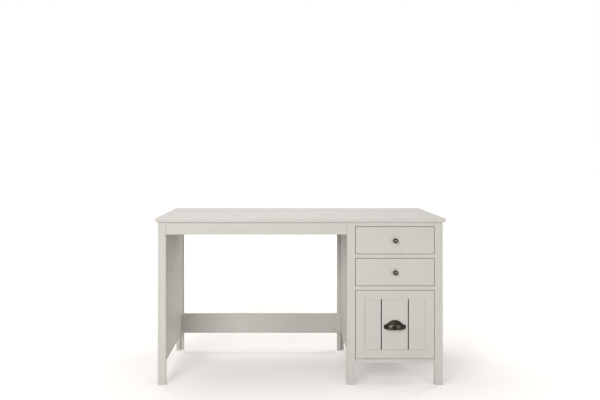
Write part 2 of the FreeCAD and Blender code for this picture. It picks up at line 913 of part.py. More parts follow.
doc.recompute()
for item in doc.Objects:
    if "Invalid" in item.State or "Error" in item.State:
        raise RuntimeError(f"{item.Name} failed: {item.State}")
labels = [piece.Label for piece in pieces]
if len(set(labels)) != len(labels):
    raise RuntimeError("two pieces share a name")
for piece in pieces:
    if piece.Shape.isNull() or not piece.Shape.isValid() or not piece.Shape.Solids:
        raise RuntimeError(f"{piece.Label} has no valid solid")

os.makedirs("parts", exist_ok=True)
for piece in pieces:
    piece.Shape.exportStep(f"parts/{piece.Label}.step")
print(f"{len(pieces)} pieces written")
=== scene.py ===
"""Pedestal writing desk in satin warm white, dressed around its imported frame.

Every place and size comes from the frame's boxes; the dataclass fields below hold only what
the frame doesn't say, such as the radius of an eased edge or the turn of a knob's rim.
"""

import logging
import math
from dataclasses import dataclass, field
from enum import Enum
from typing import Iterable, Sequence

import bmesh
import bpy
from mathutils import Matrix, Vector


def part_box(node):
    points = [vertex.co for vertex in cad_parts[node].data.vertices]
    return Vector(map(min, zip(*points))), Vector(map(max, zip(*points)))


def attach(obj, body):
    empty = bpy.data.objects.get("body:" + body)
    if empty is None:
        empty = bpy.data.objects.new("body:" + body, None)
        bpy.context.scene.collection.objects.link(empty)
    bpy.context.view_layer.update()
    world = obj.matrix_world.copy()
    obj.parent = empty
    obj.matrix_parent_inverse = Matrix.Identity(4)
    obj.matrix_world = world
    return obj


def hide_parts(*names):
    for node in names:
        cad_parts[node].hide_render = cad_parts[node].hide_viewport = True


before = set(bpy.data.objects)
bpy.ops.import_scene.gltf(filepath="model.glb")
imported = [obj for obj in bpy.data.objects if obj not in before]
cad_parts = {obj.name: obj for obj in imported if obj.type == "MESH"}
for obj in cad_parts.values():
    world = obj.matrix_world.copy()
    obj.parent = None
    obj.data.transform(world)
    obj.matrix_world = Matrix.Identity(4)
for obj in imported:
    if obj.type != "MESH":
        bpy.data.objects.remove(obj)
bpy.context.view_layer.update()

log = logging.getLogger("desk")

Colour = tuple[float, float, float]
Span = tuple[float, float]
Point = tuple[float, float, float]

MM = 0.001
EDGE_LAYER = "edge"


class Run(Enum):
    """Direction of a board's grain and brush marks, as noise cells per metre on each axis."""

    X = (2.2, 95.0, 95.0)
    Y = (95.0, 2.2, 95.0)
    Z = (95.0, 95.0, 2.2)


class Side(Enum):
    """Which way is outwards, along X."""

    LEFT = -1
    RIGHT = 1


# ---- node graphs ---------------------------------------------------------------------------


class Graph:
    """A thin wrapper that adds nodes to a tree and links them by name."""

    def __init__(self, tree: bpy.types.NodeTree) -> None:
        """Starts from an empty tree.

        Args:
            tree: the material's, world's or group's node tree.
        """
        self.tree = tree
        tree.nodes.clear()

    def add(self, kind: str, settings: dict | None = None, **inputs: object) -> bpy.types.Node:
        """Adds a node, sets its properties, and links or sets its inputs.

        Args:
            kind: the node's type, without the "ShaderNode" prefix unless it is a group node.
            settings: properties of the node itself, such as its operation.
            inputs: input name, with spaces as underscores, to a socket or a value.

        Returns:
            The new node.
        """
        node = self.tree.nodes.new(kind if kind.startswith("Node") else f"ShaderNode{kind}")
        for key, value in (settings or {}).items():
            setattr(node, key, value)
        for key, value in inputs.items():
            self.feed(node, key.replace("_", " "), value)
        return node

    def feed(self, node: bpy.types.Node, name: str | int, value: object) -> None:
        """Links a socket to an input, or sets the input's own value."""
        socket = node.inputs[name]
        if isinstance(value, bpy.types.NodeSocket):
            self.tree.links.new(value, socket)
        else:
            socket.default_value = value

    def math(self, operation: str, first: object, second: object) -> bpy.types.NodeSocket:
        """One Math node. Returns its output."""
        node = self.tree.nodes.new("ShaderNodeMath")
        node.operation = operation
        self.feed(node, 0, first)
        self.feed(node, 1, second)
        return node.outputs[0]

    def ramp(self, value: object, low: Span, high: Span) -> bpy.types.NodeSocket:
        """Maps a value from one range to another, clamped. Returns the result."""
        node = self.add("MapRange", {"clamp": True})
        self.feed(node, "Value", value)
        for name, number in zip(("From Min", "From Max", "To Min", "To Max"), (*low, *high)):
            self.feed(node, name, number)
        return node.outputs["Result"]

    def mix(self, share: object, first: object, second: object) -> bpy.types.NodeSocket:
        """Mixes two colours by a share. Returns the colour."""
        node = self.add("Mix", {"data_type": "RGBA"})
        self.feed(node, 0, share)
        self.feed(node, 6, first if isinstance(first, bpy.types.NodeSocket) else (*first, 1.0))
        self.feed(node, 7, second if isinstance(second, bpy.types.NodeSocket) else (*second, 1.0))
        return node.outputs[2]

    def group(self, tree: bpy.types.NodeTree, **inputs: object) -> bpy.types.Node:
        """Places a shared node group. Returns its node."""
        node = self.tree.nodes.new("ShaderNodeGroup")
        node.node_tree = tree
        for key, value in inputs.items():
            self.feed(node, key.replace("_", " "), value)
        return node

    def object_coordinates(self) -> bpy.types.NodeSocket:
        """The piece's own coordinates, in metres."""
        return self.add("TexCoord").outputs["Object"]


def node_group(
    name: str, inputs: Sequence[tuple[str, str, object]], outputs: Sequence[tuple[str, str]]
) -> tuple[Graph, bpy.types.Node, bpy.types.Node]:
    """Makes an empty shader group with its sockets.

    Args:
        name: the group's name.
        inputs: each input's name, socket type and default, where None leaves the default.
        outputs: each output's name and socket type.

    Returns:
        The group's graph, its input node and its output node.
    """
    tree = bpy.data.node_groups.new(name, "ShaderNodeTree")
    for label, kind, value in inputs:
        socket = tree.interface.new_socket(name=label, in_out="INPUT", socket_type=kind)
        if value is not None:
            socket.default_value = value
    for label, kind in outputs:
        tree.interface.new_socket(name=label, in_out="OUTPUT", socket_type=kind)
    graph = Graph(tree)
    return graph, graph.add("NodeGroupInput"), graph.add("NodeGroupOutput")


VECTOR = "NodeSocketVector"
FLOAT = "NodeSocketFloat"


class Effects:
    """Node groups that several finishes share, each built once."""

    def __init__(self) -> None:
        """Builds every group."""
        self.streaks = self._streaks()
        self.stipple = self._stipple()
        self.wear = self._wear()
        self.dust = self._dust()

    def _streaks(self) -> bpy.types.NodeTree:
        """Long soft streaks along a board: a broad and a fine stretched noise, mixed."""
        graph, given, result = node_group(
            "board_streaks",
            [("Vector", VECTOR, None), ("Stretch", VECTOR, (1.0, 1.0, 1.0)), ("Fineness", FLOAT, 1.0)],
            [("Streaks", FLOAT), ("Broad", FLOAT)],
        )
        stretched = graph.add("VectorMath", {"operation": "MULTIPLY"})
        graph.feed(stretched, 0, given.outputs["Vector"])
        graph.feed(stretched, 1, given.outputs["Stretch"])
        fine = graph.add("TexNoise", Vector=stretched.outputs[0], Detail=4.0, Roughness=0.62)
        graph.feed(fine, "Scale", given.outputs["Fineness"])
        broad = graph.add(
            "TexNoise", Vector=stretched.outputs[0], Scale=0.21, Detail=2.0, Roughness=0.5
        )
        both = graph.math("MULTIPLY", fine.outputs["Fac"], broad.outputs["Fac"])
        graph.feed(result, "Streaks", graph.ramp(both, (0.12, 0.42), (0.0, 1.0)))
        graph.feed(result, "Broad", graph.ramp(broad.outputs["Fac"], (0.3, 0.7), (0.0, 1.0)))
        return graph.tree

    def _stipple(self) -> bpy.types.NodeTree:
        """The faint dimpled skin that a roller or spray leaves, and a slow unevenness."""
        graph, given, result = node_group(
            "stippled_skin",
            [("Vector", VECTOR, None), ("Cells", FLOAT, 900.0)],
            [("Height", FLOAT), ("Slow", FLOAT)],
        )
        skin = graph.add("TexNoise", Vector=given.outputs["Vector"], Detail=2.0, Roughness=0.55)
        graph.feed(skin, "Scale", given.outputs["Cells"])
        slow = graph.add("TexNoise", Vector=given.outputs["Vector"], Scale=5.5, Detail=3.0)
        graph.feed(result, "Height", skin.outputs["Fac"])
        graph.feed(result, "Slow", graph.ramp(slow.outputs["Fac"], (0.35, 0.65), (0.0, 1.0)))
        return graph.tree

    def _wear(self) -> bpy.types.NodeTree:
        """Rubbed edges: the piece's edge attribute, broken up by noise."""
        graph, given, result = node_group(
            "rubbed_edges",
            [("Vector", VECTOR, None), ("Cells", FLOAT, 60.0), ("Reach", FLOAT, 0.5)],
            [("Mask", FLOAT)],
        )
        edge = graph.add("Attribute", {"attribute_type": "GEOMETRY", "attribute_name": EDGE_LAYER})
        patches = graph.add("TexNoise", Vector=given.outputs["Vector"], Detail=5.0, Roughness=0.7)
        graph.feed(patches, "Scale", given.outputs["Cells"])
        reach = graph.math("MULTIPLY", edge.outputs["Fac"], given.outputs["Reach"])
        total = graph.math("ADD", reach, patches.outputs["Fac"])
        graph.feed(result, "Mask", graph.ramp(total, (0.72, 0.98), (0.0, 1.0)))
        return graph.tree

    def _dust(self) -> bpy.types.NodeTree:
        """A thin veil on faces that look up, denser in slow drifts."""
        graph, given, result = node_group(
            "settled_dust",
            [("Vector", VECTOR, None), ("Amount", FLOAT, 0.3)],
            [("Mask", FLOAT)],
        )
        facing = graph.add("SeparateXYZ", Vector=graph.add("NewGeometry").outputs["Normal"])
        up = graph.ramp(facing.outputs["Z"], (0.55, 1.0), (0.0, 1.0))
        drift = graph.add("TexNoise", Vector=given.outputs["Vector"], Scale=14.0, Detail=6.0)
        cloud = graph.ramp(drift.outputs["Fac"], (0.35, 0.75), (0.0, 1.0))
        veil = graph.math("MULTIPLY", up, cloud)
        graph.feed(result, "Mask", graph.math("MULTIPLY", veil, given.outputs["Amount"]))
        return graph.tree


# ---- finishes ------------------------------------------------------------------------------


def blank_material(name: str) -> tuple[bpy.types.Material, Graph]:
    """A new material with an empty graph."""
    material = bpy.data.materials.new(name)
    material.use_nodes = True
    return material, Graph(material.node_tree)


def close_material(
    graph: Graph, colour: object, roughness: object, height: object, depth: float, **plain: float
) -> None:
    """Adds the bump, the shader and the output.

    Args:
        graph: the material's graph.
        colour: the base colour's socket.
        roughness: the roughness socket.
        height: the bump's height socket.
        depth: the bump's depth in metres.
        plain: shader inputs that are the same all over.
    """
    bump = graph.add("Bump", Height=height, Strength=1.0, Distance=depth)
    shader = graph.add("BsdfPrincipled", Base_Color=colour, Roughness=roughness)
    graph.feed(shader, "Normal", bump.outputs["Normal"])
    for key, value in plain.items():
        graph.feed(shader, key.replace("_", " "), value)
    output = graph.add("OutputMaterial")
    graph.feed(output, "Surface", shader.outputs["BSDF"])


@dataclass(frozen=True)
class SatinPaint:
    """Sprayed warm white paint on board: faint streaks, stippled skin, thin paint on edges."""

    effects: Effects
    run: Run
    tint: Colour = (0.652, 0.637, 0.617)
    shade: Colour = (0.620, 0.601, 0.577)
    thin: Colour = (0.570, 0.530, 0.485)

    def build(self) -> bpy.types.Material:
        """Returns the material."""
        material, graph = blank_material(f"satin_paint_{self.run.name.lower()}")
        place = graph.object_coordinates()
        streaks = graph.group(self.effects.streaks, Vector=place, Stretch=self.run.value, Fineness=1.0)
        skin = graph.group(self.effects.stipple, Vector=place, Cells=1100.0)
        wear = graph.group(self.effects.wear, Vector=place, Cells=42.0, Reach=0.42)
        share = graph.math("MULTIPLY", streaks.outputs["Streaks"], 0.42)
        uneven = graph.math("MULTIPLY", skin.outputs["Slow"], 0.30)
        colour = graph.mix(graph.math("ADD", share, uneven), self.tint, self.shade)
        colour = graph.mix(graph.math("MULTIPLY", wear.outputs["Mask"], 0.55), colour, self.thin)
        roughness = graph.ramp(streaks.outputs["Broad"], (0.0, 1.0), (0.43, 0.54))
        grain = graph.math("MULTIPLY", streaks.outputs["Streaks"], 0.7)
        height = graph.math("ADD", graph.math("MULTIPLY", skin.outputs["Height"], 0.5), grain)
        close_material(graph, colour, roughness, height, 0.00006, Coat_Weight=0.04, Coat_Roughness=0.3)
        return material


@dataclass(frozen=True)
class Laminate:
    """Pale paper-faced board of the drawer boxes, with a printed ash-like figure."""

    effects: Effects
    run: Run = Run.Y
    tint: Colour = (0.72, 0.69, 0.64)
    shade: Colour = (0.61, 0.57, 0.51)

    def build(self) -> bpy.types.Material:
        """Returns the material."""
        material, graph = blank_material("drawer_laminate")
        place = graph.object_coordinates()
        streaks = graph.group(self.effects.streaks, Vector=place, Stretch=self.run.value, Fineness=1.7)
        skin = graph.group(self.effects.stipple, Vector=place, Cells=1600.0)
        dust = graph.group(self.effects.dust, Vector=place, Amount=0.22)
        share = graph.math("MULTIPLY", streaks.outputs["Streaks"], 0.65)
        colour = graph.mix(share, self.tint, self.shade)
        colour = graph.mix(dust.outputs["Mask"], colour, (0.52, 0.50, 0.47))
        roughness = graph.ramp(skin.outputs["Slow"], (0.0, 1.0), (0.48, 0.58))
        close_material(graph, colour, roughness, streaks.outputs["Streaks"], 0.00004)
        return material


@dataclass(frozen=True)
class DarkFace:
    """Matt brown-black face of the board behind the planks."""

    effects: Effects
    tint: Colour = (0.030, 0.024, 0.020)
    shade: Colour = (0.052, 0.042, 0.034)

    def build(self) -> bpy.types.Material:
        """Returns the material."""
        material, graph = blank_material("dark_backing")
        place = graph.object_coordinates()
        streaks = graph.group(self.effects.streaks, Vector=place, Stretch=Run.Z.value, Fineness=2.2)
        skin = graph.group(self.effects.stipple, Vector=place, Cells=1300.0)
        colour = graph.mix(streaks.outputs["Streaks"], self.tint, self.shade)
        roughness = graph.ramp(skin.outputs["Slow"], (0.0, 1.0), (0.66, 0.8))
        close_material(graph, colour, roughness, skin.outputs["Height"], 0.00005)
        return material


@dataclass(frozen=True)
class AntiqueBronze:
    """Dark plated casting, rubbed to a warmer metal on its high spots; the same lighter colour on the
    knobs' buttons is a painted highlight.
    """

    effects: Effects
    dark: Colour = (0.042, 0.035, 0.030)
    brown: Colour = (0.112, 0.090, 0.074)
    rubbed_and_highlight: Colour = (0.50, 0.44, 0.38)

    def build(self) -> bpy.types.Material:
        """Returns the material."""
        material, graph = blank_material("antique_bronze")
        place = graph.object_coordinates()
        skin = graph.group(self.effects.stipple, Vector=place, Cells=520.0)
        wear = graph.group(self.effects.wear, Vector=place, Cells=260.0, Reach=0.5)
        blotch = graph.add("TexNoise", Vector=place, Scale=85.0, Detail=5.0, Roughness=0.6)
        patch = graph.ramp(blotch.outputs["Fac"], (0.38, 0.66), (0.0, 1.0))
        colour = graph.mix(patch, self.dark, self.brown)
        # Lighter where rubbed; on the knobs' buttons this is also a painted highlight.
        colour = graph.mix(graph.math("MULTIPLY", wear.outputs["Mask"], 0.7), colour, self.rubbed_and_highlight)
        worn = graph.math("MULTIPLY", wear.outputs["Mask"], -0.12)
        roughness = graph.math("ADD", graph.ramp(patch, (0.0, 1.0), (0.27, 0.40)), worn)
        close_material(graph, colour, roughness, skin.outputs["Height"], 0.00007, Metallic=0.86)
        return material


@dataclass(frozen=True)
class ZincSteel:
    """Bright zinc plating on rolled steel: fine drawn lines and a faint spangle."""

    effects: Effects
    bright: Colour = (0.62, 0.63, 0.65)
    dull: Colour = (0.47, 0.48, 0.50)

    def build(self) -> bpy.types.Material:
        """Returns the material."""
        material, graph = blank_material("zinc_steel")
        place = graph.object_coordinates()
        lines = graph.group(self.effects.streaks, Vector=place, Stretch=Run.Y.value, Fineness=7.0)
        spangle = graph.add("TexVoronoi", Vector=place, Scale=240.0)
        cell = graph.ramp(spangle.outputs["Distance"], (0.0, 0.8), (0.0, 1.0))
        colour = graph.mix(graph.math("MULTIPLY", cell, 0.6), self.bright, self.dull)
        roughness = graph.ramp(lines.outputs["Streaks"], (0.0, 1.0), (0.24, 0.4))
        close_material(graph, colour, roughness, lines.outputs["Streaks"], 0.00003, Metallic=1.0)
        return material


@dataclass(frozen=True)
class CapPlastic:
    """Matt off-white moulded plastic."""

    effects: Effects
    tint: Colour = (0.60, 0.60, 0.565)
    shade: Colour = (0.545, 0.545, 0.51)

    def build(self) -> bpy.types.Material:
        """Returns the material."""
        material, graph = blank_material("cap_plastic")
        place = graph.object_coordinates()
        skin = graph.group(self.effects.stipple, Vector=place, Cells=2400.0)
        wear = graph.group(self.effects.wear, Vector=place, Cells=500.0, Reach=0.3)
        share = graph.math("ADD", skin.outputs["Slow"], graph.math("MULTIPLY", wear.outputs["Mask"], 0.4))
        colour = graph.mix(share, self.tint, self.shade)
        roughness = graph.ramp(skin.outputs["Height"], (0.3, 0.7), (0.5, 0.6))
        close_material(graph, colour, roughness, skin.outputs["Height"], 0.00004)
        return material


@dataclass(frozen=True)
class PlainTimber:
    """Unfinished beech and softwood: growth rings stretched along the grain, and flecks."""

    effects: Effects
    run: Run = Run.Y
    pale: Colour = (0.56, 0.40, 0.25)
    ring: Colour = (0.40, 0.255, 0.14)

    def build(self) -> bpy.types.Material:
        """Returns the material."""
        material, graph = blank_material("plain_timber")
        place = graph.object_coordinates()
        fibres = graph.group(self.effects.streaks, Vector=place, Stretch=self.run.value, Fineness=3.4)
        rings = graph.add("TexWave", {"wave_type": "RINGS", "rings_direction": "Y"})
        graph.feed(rings, "Vector", place)
        for name, value in (("Scale", 46.0), ("Distortion", 5.5), ("Detail", 3.0), ("Detail Scale", 0.7)):
            graph.feed(rings, name, value)
        band = graph.math("MULTIPLY", rings.outputs["Fac"], 0.55)
        share = graph.math("ADD", band, graph.math("MULTIPLY", fibres.outputs["Streaks"], 0.4))
        colour = graph.mix(share, self.pale, self.ring)
        roughness = graph.ramp(fibres.outputs["Streaks"], (0.0, 1.0), (0.58, 0.74))
        close_material(graph, colour, roughness, fibres.outputs["Streaks"], 0.0001)
        return material


# ---- mesh work -----------------------------------------------------------------------------


def round_edges(mesh: bmesh.types.BMesh, edges: Iterable, radius: float, segments: int) -> None:
    """Rounds some edges and marks the new faces in the edge layer.

    Args:
        mesh: the mesh to change.
        edges: its edges to round.
        radius: the rounding's radius.
        segments: faces across the rounding.
    """
    layer = mesh.loops.layers.float.get(EDGE_LAYER) or mesh.loops.layers.float.new(EDGE_LAYER)
    rounded = bmesh.ops.bevel(
        mesh,
        geom=list(edges),
        offset=radius,
        offset_type="OFFSET",
        segments=segments,
        profile=0.5,
        affect="EDGES",
        material=-1,
        clamp_overlap=True,
    )
    for face in rounded["faces"]:
        for loop in face.loops:
            loop[layer] = 1.0


def sharp_edges(mesh: bmesh.types.BMesh, angle: float = math.radians(40)) -> list:
    """The edges where a mesh turns by more than an angle."""
    return [e for e in mesh.edges if len(e.link_faces) == 2 and e.calc_face_angle() > angle]


def block(low: Sequence[float], high: Sequence[float]) -> bmesh.types.BMesh:
    """A plain block between two corners."""
    mesh = bmesh.new()
    size = [high[i] - low[i] for i in range(3)]
    centre = [(high[i] + low[i]) / 2 for i in range(3)]
    matrix = Matrix.Translation(centre) @ Matrix.Diagonal((*size, 1.0))
    bmesh.ops.create_cube(mesh, size=1.0, matrix=matrix)
    return mesh


def eased(mesh: bmesh.types.BMesh, radius: float, segments: int = 3) -> bmesh.types.BMesh:
    """The same mesh with every sharp edge rounded."""
    round_edges(mesh, sharp_edges(mesh), radius, segments)
    return mesh


def prism(corners: Sequence[tuple[float, float]], axis: str, span: Span) -> bmesh.types.BMesh:
    """An outline drawn out along an axis.

    Args:
        corners: the outline in the plane across the axis: (x, y) for Z, (x, z) for Y.
        axis: "Z" or "Y".
        span: the low and high ends.

    Returns:
        The closed mesh.
    """
    mesh = bmesh.new()
    if axis == "Z":
        spots = [(a, b, span[0]) for a, b in corners]
        travel = Vector((0, 0, span[1] - span[0]))
    else:
        spots = [(a, span[0], b) for a, b in corners]
        travel = Vector((0, span[1] - span[0], 0))
    face = mesh.faces.new([mesh.verts.new(spot) for spot in spots])
    drawn = bmesh.ops.extrude_face_region(mesh, geom=[face])
    moved = [item for item in drawn["geom"] if isinstance(item, bmesh.types.BMVert)]
    bmesh.ops.translate(mesh, vec=travel, verts=moved)
    bmesh.ops.recalc_face_normals(mesh, faces=mesh.faces)
    return mesh


def arc(centre: tuple[float, float], radius: float, start: float, end: float, steps: int) -> list:
    """Points on an arc, in degrees from the first axis, ends included."""
    turns = [math.radians(start + (end - start) * i / steps) for i in range(steps + 1)]
    return [(centre[0] + radius * math.cos(t), centre[1] + radius * math.sin(t)) for t in turns]


def turned(profile: Sequence[tuple[float, float]], steps: int) -> bmesh.types.BMesh:
    """A turned piece about the Y axis, from the origin out along -Y.

    Args:
        profile: (radius, distance out) points, from the axis back to the axis.
        steps: faces round the piece.

    Returns:
        The closed mesh.
    """
    mesh = bmesh.new()
    verts = [mesh.verts.new((radius, -out, 0.0)) for radius, out in profile]
    edges = [mesh.edges.new(pair) for pair in zip(verts, verts[1:])]
    bmesh.ops.spin(
        mesh,
        geom=verts + edges,
        cent=(0, 0, 0),
        axis=(0, 1, 0),
        dvec=(0, 0, 0),
        angle=math.tau,
        steps=steps,
        use_merge=True,
        use_duplicate=False,
    )
    bmesh.ops.remove_doubles(mesh, verts=mesh.verts, dist=1e-6)
    bmesh.ops.recalc_face_normals(mesh, faces=mesh.faces)
    return mesh


def mark_convexity(mesh: bmesh.types.BMesh, gain: float) -> None:
    """Writes how far each point stands out from its neighbours in the edge layer.

    Args:
        mesh: the mesh to mark.
        gain: how strongly a bend counts.
    """
    mesh.normal_update()
    layer = mesh.loops.layers.float.get(EDGE_LAYER) or mesh.loops.layers.float.new(EDGE_LAYER)
    for vert in mesh.verts:
        ways = [(vert.co - edge.other_vert(vert).co).normalized() for edge in vert.link_edges]
        bend = sum(way.dot(vert.normal) for way in ways) / max(len(ways), 1)
        for loop in vert.link_loops:
            loop[layer] = min(max(bend * gain, 0.0), 1.0)


def joined(meshes: Iterable[bmesh.types.BMesh]) -> bmesh.types.BMesh:
    """Several meshes in one. The originals are freed."""
    whole = bmesh.new()
    for part in meshes:
        carrier = bpy.data.meshes.new("carrier")
        part.to_mesh(carrier)
        part.free()
        whole.from_mesh(carrier)
        bpy.data.meshes.remove(carrier)
    return whole


def moved(mesh: bmesh.types.BMesh, matrix: Matrix) -> bmesh.types.BMesh:
    """The same mesh, carried by a matrix."""
    bmesh.ops.transform(mesh, matrix=matrix, verts=mesh.verts)
    return mesh


# ---- the workshop --------------------------------------------------------------------------


class Finish(Enum):
    """The finishes a piece can have, with the run of the brush where one slot has two."""

    PAINT_X = ("painted_wood", Run.X)
    PAINT_Z = ("painted_wood", Run.Z)
    LAMINATE = ("drawer_board", None)
    DARK = ("dark_board", None)
    BRONZE = ("dark_bronze", None)
    ZINC = ("zinc_steel", None)
    CAP = ("cap_plastic", None)
    TIMBER = ("plain_timber", None)

    @property
    def slot(self) -> str:
        """The record's material slot."""
        return self.value[0]

    @property
    def run(self) -> Run:
        """The direction of the finish's brush strokes."""
        return self.value[1]


class Workshop:
    """Turns meshes into pieces with a finish, a body and the nodes they stand for."""

    def __init__(self) -> None:
        """Builds every finish."""
        effects = Effects()
        self.materials: dict[Finish, bpy.types.Material] = {
            Finish.PAINT_X: SatinPaint(effects, Finish.PAINT_X.run).build(),
            Finish.PAINT_Z: SatinPaint(effects, Finish.PAINT_Z.run).build(),
            Finish.LAMINATE: Laminate(effects).build(),
            Finish.DARK: DarkFace(effects).build(),
            Finish.BRONZE: AntiqueBronze(effects).build(),
            Finish.ZINC: ZincSteel(effects).build(),
            Finish.CAP: CapPlastic(effects).build(),
            Finish.TIMBER: PlainTimber(effects).build(),
        }

    def piece(
        self,
        name: str,
        mesh: bmesh.types.BMesh,
        finish: Finish,
        body: str,
        nodes: Sequence[str],
        smooth: float = 40.0,
        second: Finish | None = None,
    ) -> bpy.types.Object:
        """Makes an object that rides on a body in place of some CAD nodes.

        Args:
            name: the piece's name.
            mesh: its mesh, which is freed.
            finish: its finish.
            body: the body that it moves with.
            nodes: the CAD nodes that it stands for.
            smooth: edges that turn by more than this many degrees stay crisp.
            second: the finish of the faces with material index 1, if there are any.

        Returns:
            The object.
        """
        data = bpy.data.meshes.new(name)
        mesh.to_mesh(data)
        mesh.free()
        for polygon in data.polygons:
            polygon.use_smooth = True
        data.set_sharp_from_angle(angle=math.radians(smooth))
        item = bpy.data.objects.new(name, data)
        bpy.context.scene.collection.objects.link(item)
        data.materials.append(self.materials[finish])
        if second is not None:
            data.materials.append(self.materials[second])
        weighted = item.modifiers.new("even_faces", "WEIGHTED_NORMAL")
        weighted.keep_sharp = True
        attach(item, body)
        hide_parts(*nodes)
        log.info("%s: %d faces, on %s", name, len(data.polygons), body)
        return item

    def board(
        self, node: str, finish: Finish, body: str, radius: float, name: str | None = None
    ) -> bpy.types.Object:
        """A board with eased edges that fills a node's box.

        Args:
            node: the CAD node that it stands for.
            finish: its finish.
            body: the body that it moves with.
            radius: the radius of its eased edges.
            name: the piece's name, or None for the node's name with "_board".

        Returns:
            The object.
        """
        low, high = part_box(node)
        return self.piece(name or f"{node}_board", eased(block(low, high), radius), finish, body, [node])

    def carry_over(self, node: str, finish: Finish) -> None:
        """Gives a CAD node that stays its finish."""
        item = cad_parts[node]
        item.data.materials.clear()
        item.data.materials.append(self.materials[finish])


# ---- sub-assemblies --------------------------------------------------------------------------

FRAME_BODY = "desk_frame"


@dataclass
class Tabletop:
    """The top board, rounded above and lightly eased below."""

    upper_radius: float = 3 * MM
    lower_radius: float = 1 * MM

    def build(self, shop: Workshop) -> None:
        """Builds the board."""
        low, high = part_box("tabletop")
        mesh = block(low, high)
        middle = (low[2] + high[2]) / 2
        above = [e for e in mesh.edges if max(v.co.z for v in e.verts) > middle]
        round_edges(mesh, above, self.upper_radius, 6)
        below = [e for e in sharp_edges(mesh) if max(v.co.z for v in e.verts) < middle]
        round_edges(mesh, below, self.lower_radius, 3)
        shop.piece("tabletop_board", mesh, Finish.PAINT_X, FRAME_BODY, ["tabletop"])


@dataclass
class SideFrame:
    """Two angle-section legs with a panel seated between them."""

    name: str
    outer: Side
    leg_easing: float = 1.4 * MM
    panel_easing: float = 0.8 * MM

    def leg(self, shop: Workshop, place: str) -> None:
        """One leg, whose outline follows its box and the panel's.

        Args:
            shop: the workshop.
            place: "front" or "rear".
        """
        node = f"{self.name}_{place}_leg"
        low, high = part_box(node)
        panel_low, panel_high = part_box(f"{self.name}_side_panel")
        if self.outer is Side.LEFT:
            outer_x, inner_x, board_x = low[0], high[0], panel_low[0]
        else:
            outer_x, inner_x, board_x = high[0], low[0], panel_high[0]
        if place == "front":
            outer_y, inner_y, board_y = low[1], high[1], panel_low[1]
        else:
            outer_y, inner_y, board_y = high[1], low[1], panel_high[1]
        corners = [
            (outer_x, outer_y),
            (inner_x, outer_y),
            (inner_x, board_y),
            (board_x, board_y),
            (board_x, inner_y),
            (outer_x, inner_y),
        ]
        mesh = prism(corners, "Z", (low[2], high[2]))
        shop.piece(f"{node}_angle", eased(mesh, self.leg_easing), Finish.PAINT_Z, FRAME_BODY, [node])

    def build(self, shop: Workshop) -> None:
        """Builds both legs and the panel."""
        self.leg(shop, "front")
        self.leg(shop, "rear")
        shop.board(f"{self.name}_side_panel", Finish.PAINT_Z, FRAME_BODY, self.panel_easing)


@dataclass
class Crossmembers:
    """Aprons, stretcher, front rails, back and bottom of the pedestal, and hidden battens."""

    easing: float = 1.2 * MM
    rail_easing: float = 0.9 * MM

    def build(self, shop: Workshop) -> None:
        """Builds every board that runs across the desk."""
        for node in ("knee_apron", "rear_apron", "back_stretcher"):
            shop.board(node, Finish.PAINT_X, FRAME_BODY, self.easing)
        for level in ("top", "upper", "lower", "bottom"):
            shop.board(f"{level}_front_rail", Finish.PAINT_X, FRAME_BODY, self.rail_easing)
        shop.board("pedestal_back_panel", Finish.PAINT_Z, FRAME_BODY, self.rail_easing)
        shop.board("pedestal_bottom_board", Finish.PAINT_X, FRAME_BODY, self.rail_easing)
        for node, finish in (
            ("tabletop_cleats", Finish.TIMBER),
            ("slide_packers", Finish.TIMBER),
            ("frame_dowels", Finish.TIMBER),
            ("cam_locks", Finish.ZINC),
            ("cam_bolts", Finish.ZINC),
        ):
            shop.carry_over(node, finish)


@dataclass
class CamCaps:
    """Four shallow domed caps over the stretcher's cam locks."""

    radius: float = 8.5 * MM
    rim: float = 0.35 * MM
    plug_radius: float = 3 * MM
    ring: float = 0.62
    lip: float = 0.58
    dish: float = 0.2
    lip_drop: float = 0.15 * MM
    dish_drop: float = 0.22 * MM

    def profile(self, face: float, thickness: float) -> list[tuple[float, float]]:
        """A cap's outline, from the tip of its plug out to the middle of its dome.

        Args:
            face: distance from the plug's tip to the stretcher's face.
            thickness: the cap's thickness outside the face.

        Returns:
            (radius, distance out) points.
        """
        top = face + thickness
        bend = arc((self.radius - self.rim, top - self.rim), self.rim, 0, 90, 4)
        dome = [(self.radius * self.ring, top), (self.radius * self.lip, top - self.lip_drop)]
        dish = [(self.radius * self.dish, top - self.dish_drop), (0.0, top - self.dish_drop)]
        plug = [(0.0, 0.0), (self.plug_radius, 0.0), (self.plug_radius, face)]
        return [*plug, (self.radius, face), *bend, *dome, *dish]

    def build(self, shop: Workshop) -> None:
        """Builds the caps where the node's box puts them."""
        low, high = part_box("cam_caps")
        face = high[1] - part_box("back_stretcher")[0][1]
        thickness = (high[1] - low[1]) - face
        caps = []
        for x in (low[0] + self.radius, high[0] - self.radius):
            for z in (low[2] + self.radius, high[2] - self.radius):
                cap = turned(self.profile(face, thickness), 40)
                mark_convexity(cap, 2.0)
                caps.append(moved(cap, Matrix.Translation((x, high[1], z))))
        shop.piece("cam_cover_caps", joined(caps), Finish.CAP, FRAME_BODY, ["cam_caps"])


